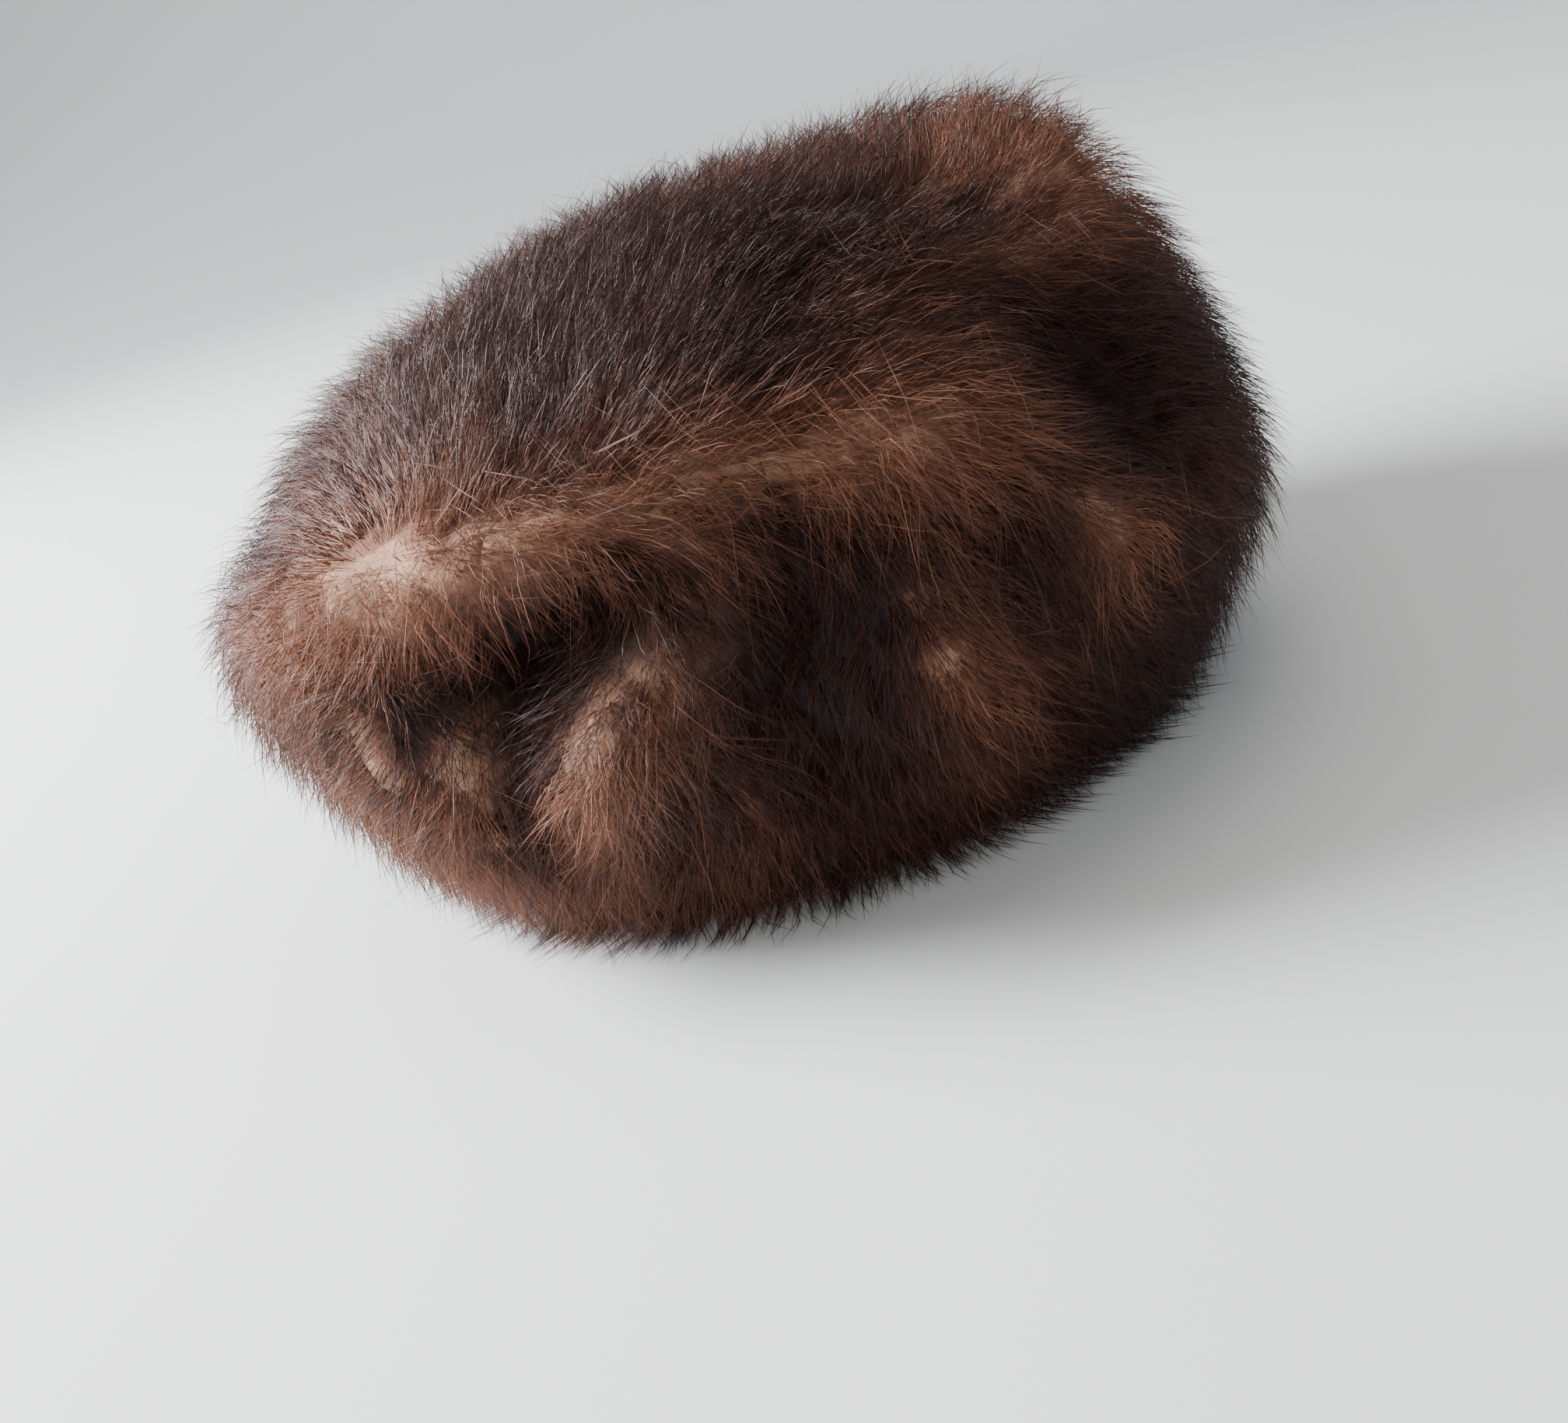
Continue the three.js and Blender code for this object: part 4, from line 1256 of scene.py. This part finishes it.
class Materials:
    """The hat's three materials, and the parts that they share."""

    def __init__(self) -> None:
        """Makes the materials."""
        self.guard = self.guard_hair(GuardHairFinish())
        self.underfur = self.down(UnderfurFinish())
        self.suede = self.leather(SuedeFinish())

    @staticmethod
    def blank(name: str) -> tuple[bpy.types.Material, bpy.types.NodeTree]:
        """A new material without nodes.

        Args:
            name: Its name.

        Returns:
            The material and its empty node tree.
        """
        material = bpy.data.materials.new(name)
        material.use_nodes = True
        material.node_tree.nodes.clear()
        return material, material.node_tree

    @staticmethod
    def finish(tree: bpy.types.NodeTree, sockets: dict) -> None:
        """Ends the nodes in a principled shader."""
        shader = add_node(tree, "ShaderNodeBsdfPrincipled", sockets)
        add_node(tree, "ShaderNodeOutputMaterial", {"Surface": shader.outputs["BSDF"]})

    @staticmethod
    def values(tree: bpy.types.NodeTree, *names: str) -> list[Socket]:
        """Outputs of the mesh's own point values.

        Args:
            tree: The material's nodes.
            *names: Names of the values.

        Returns:
            One output for each name.
        """
        return [
            add_node(tree, "ShaderNodeAttribute", attribute_name=name).outputs["Fac"] for name in names
        ]

    @staticmethod
    def noise(tree: bpy.types.NodeTree, size: float, **sockets: float) -> bpy.types.Node:
        """Noise fixed to the object, of a size in millimetres.

        Args:
            tree: The material's nodes.
            size: Size of its grain.
            **sockets: Its other inputs.

        Returns:
            The noise node.
        """
        place = add_node(tree, "ShaderNodeTexCoord").outputs["Object"]
        sockets = {"Vector": place, "Scale": 1 / (size * MM), **sockets}
        return add_node(tree, "ShaderNodeTexNoise", sockets)

    @staticmethod
    def scattered(tree: bpy.types.NodeTree, tone: Socket, chance: Socket, spread: float) -> Socket:
        """A tone made a little lighter or darker by chance, within 0 to 1.

        Args:
            tree: The material's nodes.
            tone: The tone.
            chance: Values from 0 to 1.
            spread: How far apart the lightest and darkest are.

        Returns:
            Output of the new tone.
        """
        sockets = {0: chance, 1: spread, 2: -spread / 2}
        shift = add_node(tree, "ShaderNodeMath", sockets, operation="MULTIPLY_ADD").outputs[0]
        total = add_node(tree, "ShaderNodeMath", {0: tone, 1: shift}, operation="ADD", use_clamp=True)
        return total.outputs[0]

    @staticmethod
    def mix(
        tree: bpy.types.NodeTree, share: object, first: object, second: object, **settings: str
    ) -> Socket:
        """A mix of two colours, by a share of the second."""
        sockets = {"Factor": share, 6: first, 7: second}
        return add_node(tree, "ShaderNodeMix", sockets, data_type="RGBA", **settings).outputs[2]

    def guard_hair(self, finish: GuardHairFinish) -> bpy.types.Material:
        """Guard hair: a pale and a dark ramp along the hair, mixed by tone and tinted by warmth.

        Args:
            finish: Its colours and gloss.

        Returns:
            The material.
        """
        material, tree = self.blank("mink_guard_hair")
        along, tone, warmth, chance = self.values(tree, "along", "tone", "warmth", "chance")
        pale, dark, tint = (
            add_node(tree, "ShaderNodeValToRGB", {"Fac": place}, stops).outputs["Color"]
            for place, stops in ((along, finish.pale), (along, finish.dark), (warmth, finish.warmth))
        )
        coat = self.mix(tree, self.scattered(tree, tone, chance, finish.scatter), dark, pale)
        self.finish(tree, {
            "Base Color": self.mix(tree, 1.0, coat, tint, blend_type="MULTIPLY"),
            "Roughness": finish.roughness,
            "Specular IOR Level": finish.specular,
        })
        return material

    def down(self, finish: UnderfurFinish) -> bpy.types.Material:
        """Underfur: mottled by fine noise, paler where the coat parts.

        Args:
            finish: Its colours and grain.

        Returns:
            The material.
        """
        material, tree = self.blank("mink_underfur")
        tone, bare = self.values(tree, "tone", "bare")
        grain = self.noise(tree, finish.grain, Detail=3.0, Roughness=0.65).outputs["Fac"]
        share = self.scattered(tree, tone, grain, finish.scatter)
        colour = add_node(tree, "ShaderNodeValToRGB", {"Fac": share}, finish.tones).outputs["Color"]
        relief = {"Height": grain, "Strength": finish.relief, "Distance": finish.depth * MM}
        self.finish(tree, {
            "Base Color": self.mix(tree, bare, colour, linear(finish.bare)),
            "Roughness": finish.roughness,
            "Normal": add_node(tree, "ShaderNodeBump", relief).outputs["Normal"],
        })
        return material

    def leather(self, finish: SuedeFinish) -> bpy.types.Material:
        """Suede: cloudy tan with a fine nap, and a darker sunk line at each sewn seam.

        Args:
            finish: Its colours and grain.

        Returns:
            The material.
        """
        material, tree = self.blank("mink_pelt_suede")
        seam, = self.values(tree, "seam")
        cloud = self.noise(tree, finish.cloud, Detail=4.0).outputs["Fac"]
        nap = self.noise(tree, finish.nap, Detail=3.0, Roughness=0.7)
        tan = self.mix(tree, cloud, linear(finish.dark), linear(finish.pale))
        flecked = self.mix(tree, finish.fleck, tan, nap.outputs["Color"], blend_type="SOFT_LIGHT")
        near, far = finish.line
        sockets = {"Value": seam, "From Min": near, "From Max": far, "To Min": 1.0, "To Max": 0.0}
        line = add_node(tree, "ShaderNodeMapRange", sockets).outputs["Result"]
        sockets = {0: line, 1: -finish.sunk, 2: nap.outputs["Fac"]}
        height = add_node(tree, "ShaderNodeMath", sockets, operation="MULTIPLY_ADD").outputs[0]
        relief = {"Height": height, "Strength": finish.relief, "Distance": finish.depth * MM}
        self.finish(tree, {
            "Base Color": self.mix(tree, line, flecked, linear(finish.seam)),
            "Roughness": finish.roughness,
            "Sheen Weight": finish.sheen,
            "Normal": add_node(tree, "ShaderNodeBump", relief).outputs["Normal"],
        })
        return material


def mesh_object(name: str, body: Body, material: bpy.types.Material) -> bpy.types.Object:
    """A Blender object from a body, in metres and in the CAD's frame.

    Args:
        name: Name of the object and its mesh.
        body: The closed mesh and its point values.
        material: Its one material.

    Returns:
        The object, linked into the scene.
    """
    mesh = bpy.data.meshes.new(name)
    points = (body.points + SIZES.offset) * MM
    count = len(body.triangles)
    mesh.vertices.add(len(points))
    mesh.vertices.foreach_set("co", points.astype(np.float32).ravel())
    mesh.loops.add(3 * count)
    mesh.loops.foreach_set("vertex_index", body.triangles.astype(np.int32).ravel())
    mesh.polygons.add(count)
    mesh.polygons.foreach_set("loop_start", np.arange(0, 3 * count, 3, dtype=np.int32))
    mesh.polygons.foreach_set("use_smooth", np.ones(count, bool))
    mesh.update(calc_edges=True)
    for label, values in body.values.items():
        layer = mesh.attributes.new(label, "FLOAT", "POINT")
        layer.data.foreach_set("value", values.astype(np.float32))
    mesh.materials.append(material)
    piece = bpy.data.objects.new(name, mesh)
    bpy.context.collection.objects.link(piece)
    LOG.info("%s: %d triangles", name, count)
    return piece


class Hat:
    """Builds all the pieces of the hat, each in place of a CAD node."""

    # How tone and warmth, about 0 on the form, are brought within 0 to 1
    TONE_SHARE = 0.62
    WARMTH_SHARE = 0.5
    MIDDLE = 0.5
    SEEDS_A_PELT = 100

    def __init__(self, form: HatForm, materials: Materials) -> None:
        """Readies the builders of fur and leather.

        Args:
            form: The crown's form.
            materials: The hat's materials.
        """
        self.fur = FurBuilder(form)
        self.skins = LeatherBuilder(form)
        self.materials = materials
        self.triangles = 0

    def add(self, name: str, body: Body, material: bpy.types.Material, node: str, slot: str) -> None:
        """Adds one piece in place of a CAD node.

        Args:
            name: Name of the piece.
            body: Its mesh, whose tone and warmth are brought within 0 to 1.
            material: Its material.
            node: The CAD node that it replaces.
            slot: Not used.
        """
        for label, share in (("tone", self.TONE_SHARE), ("warmth", self.WARMTH_SHARE)):
            if label in body.values:
                body.values[label] = np.clip(self.MIDDLE + share * body.values[label], 0, 1)
        piece = mesh_object(name, body, material)
        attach(piece, "root")
        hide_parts(node)
        self.triangles += len(body.triangles)

    def build(self) -> None:
        """Makes each pelt's leather, underfur and coat."""
        looks = self.materials
        for index, pelt in enumerate(PELTS):
            fur, skin = pelt.node, pelt.node.replace("_fur_", "_skin_")
            self.add(f"{skin}_leather", self.skins.panel(pelt), looks.suede, skin, "pelt_leather")
            self.add(f"{fur}_underfur", self.fur.underfur(pelt), looks.underfur, fur, "mink_fur")
            seed = self.SEEDS_A_PELT * index
            kinds = [self.fur.coat(pelt, kind, seed + k) for k, kind in enumerate(COATS)]
            self.add(f"{fur}_hair", Body.joined(kinds), looks.guard, fur, "mink_fur")
        LOG.info("%d triangles in all", self.triangles)


@dataclass(frozen=True)
class CameraPose:
    """The photograph's view: heading from +Y towards +X, depression below level, and roll."""

    place: tuple[float, float, float] = (-176.28, -462.47, 227.03)
    heading: float = 20.823
    depression: float = 23.569
    roll: float = -17.0
    lens: float = 40.0
    sensor: float = 36.0


@dataclass(frozen=True)
class Lamp:
    """A soft area light that looks at the hat."""

    name: str
    place: tuple[float, float, float]
    size: float
    power: float
    colour: str


LAMPS = (
    Lamp("window_key", (-1.0, 0.7, 0.8), 0.8, 105.0, "#fbfbff"),
    Lamp("overhead_fill", (0.1, 0.1, 1.7), 1.4, 12.0, "#fffaf4"),
    Lamp("front_fill", (-1.1, -1.1, 0.8), 1.2, 8.0, "#fffaf4"),
)


class Studio:
    """Camera, lights and the pale floor."""

    FLOOR_RADIUS = 1.5
    FLOOR_RINGS = (0.02, 0.5, 1.0)
    SWEEP_RADIUS = 1.0
    SWEEP_STEPS = 24
    WALL_HEIGHT = 2.2
    TURNS = 96
    PAPER = "#d9dbdb"
    PAPER_ROUGHNESS = 0.95
    SKY = "#eef1f4"
    SKY_STRENGTH = 0.24
    CLIP = (0.01, 20.0)
    AIM = Vector((0, 0, 0.09))

    def build(self) -> None:
        """Makes the whole studio."""
        self.camera(CameraPose())
        for lamp in LAMPS:
            self.lamp(lamp)
        self.backdrop()
        self.world()

    def camera(self, pose: CameraPose) -> None:
        """Camera at the photograph's angle to the hat.

        Args:
            pose: Place, angles and lens.
        """
        angles = (pose.heading, pose.depression, pose.roll)
        heading, depression, roll = (math.radians(angle) for angle in angles)
        forward = Vector((
            math.sin(heading) * math.cos(depression),
            math.cos(heading) * math.cos(depression),
            -math.sin(depression),
        ))
        level = Vector((math.cos(heading), -math.sin(heading), 0))
        upright = level.cross(forward)
        right = level * math.cos(roll) + upright * math.sin(roll)
        up = right.cross(forward)
        data = bpy.data.cameras.new("photo_camera")
        data.lens = pose.lens
        data.sensor_width = pose.sensor
        data.clip_start, data.clip_end = self.CLIP
        camera = bpy.data.objects.new("photo_camera", data)
        turn = Matrix((right, up, -forward)).transposed().to_4x4()
        camera.matrix_world = Matrix.Translation(Vector(pose.place) * MM) @ turn
        bpy.context.collection.objects.link(camera)
        bpy.context.scene.camera = camera

    def lamp(self, lamp: Lamp) -> None:
        """One soft area light aimed at the hat's middle.

        Args:
            lamp: Its place, size, power and colour.
        """
        data = bpy.data.lights.new(lamp.name, "AREA")
        data.shape = "DISK"
        data.size = lamp.size
        data.energy = lamp.power
        data.color = linear(lamp.colour)[:3]
        light = bpy.data.objects.new(lamp.name, data)
        light.location = lamp.place
        light.rotation_euler = (self.AIM - light.location).to_track_quat("-Z", "Y").to_euler()
        bpy.context.collection.objects.link(light)

    def backdrop(self) -> None:
        """Seamless paper: a round floor that sweeps up into a wall all round."""
        bend = np.linspace(0, np.pi / 2, self.SWEEP_STEPS)
        sweep = self.FLOOR_RADIUS + self.SWEEP_RADIUS * np.sin(bend)
        radius = np.concatenate([self.FLOOR_RINGS, sweep, sweep[-1:]])
        rise = self.SWEEP_RADIUS * (1 - np.cos(bend))
        height = np.concatenate([np.zeros(len(self.FLOOR_RINGS)), rise, [self.WALL_HEIGHT]])
        turns = np.arange(self.TURNS) * (2 * np.pi / self.TURNS)
        level = [np.outer(np.cos(turns), radius), np.outer(np.sin(turns), radius)]
        points = np.stack([*level, np.tile(height, (self.TURNS, 1))], -1)
        index = np.arange(points.shape[0] * points.shape[1]).reshape(points.shape[:2])
        index = np.concatenate([index, index[:1]])
        quads = np.stack([index[:-1, :-1], index[:-1, 1:], index[1:, 1:], index[1:, :-1]], -1)
        faces = quads.reshape(-1, 4).tolist() + [index[:-1, 0].tolist()]
        mesh = bpy.data.meshes.new("paper_floor")
        mesh.from_pydata(points.reshape(-1, 3), [], faces)
        mesh.shade_smooth()
        material, tree = Materials.blank("studio_paper")
        Materials.finish(tree, {
            "Base Color": linear(self.PAPER), "Roughness": self.PAPER_ROUGHNESS,
        })
        mesh.materials.append(material)
        floor = bpy.data.objects.new("paper_floor", mesh)
        bpy.context.collection.objects.link(floor)

    def world(self) -> None:
        """Plain soft light from all round."""
        world = bpy.data.worlds.new("studio_light")
        world.use_nodes = True
        background = world.node_tree.nodes["Background"]
        background.inputs["Color"].default_value = linear(self.SKY)
        background.inputs["Strength"].default_value = self.SKY_STRENGTH
        bpy.context.scene.world = world


def main() -> None:
    """Builds the scene: studio, materials, then the hat."""
    logging.basicConfig(level=logging.INFO, format="%(name)s %(message)s")
    Studio().build()
    materials = Materials()
    form = HatForm(SIZES)
    Hat(form, materials).build()


if __name__ == "__main__":
    main()
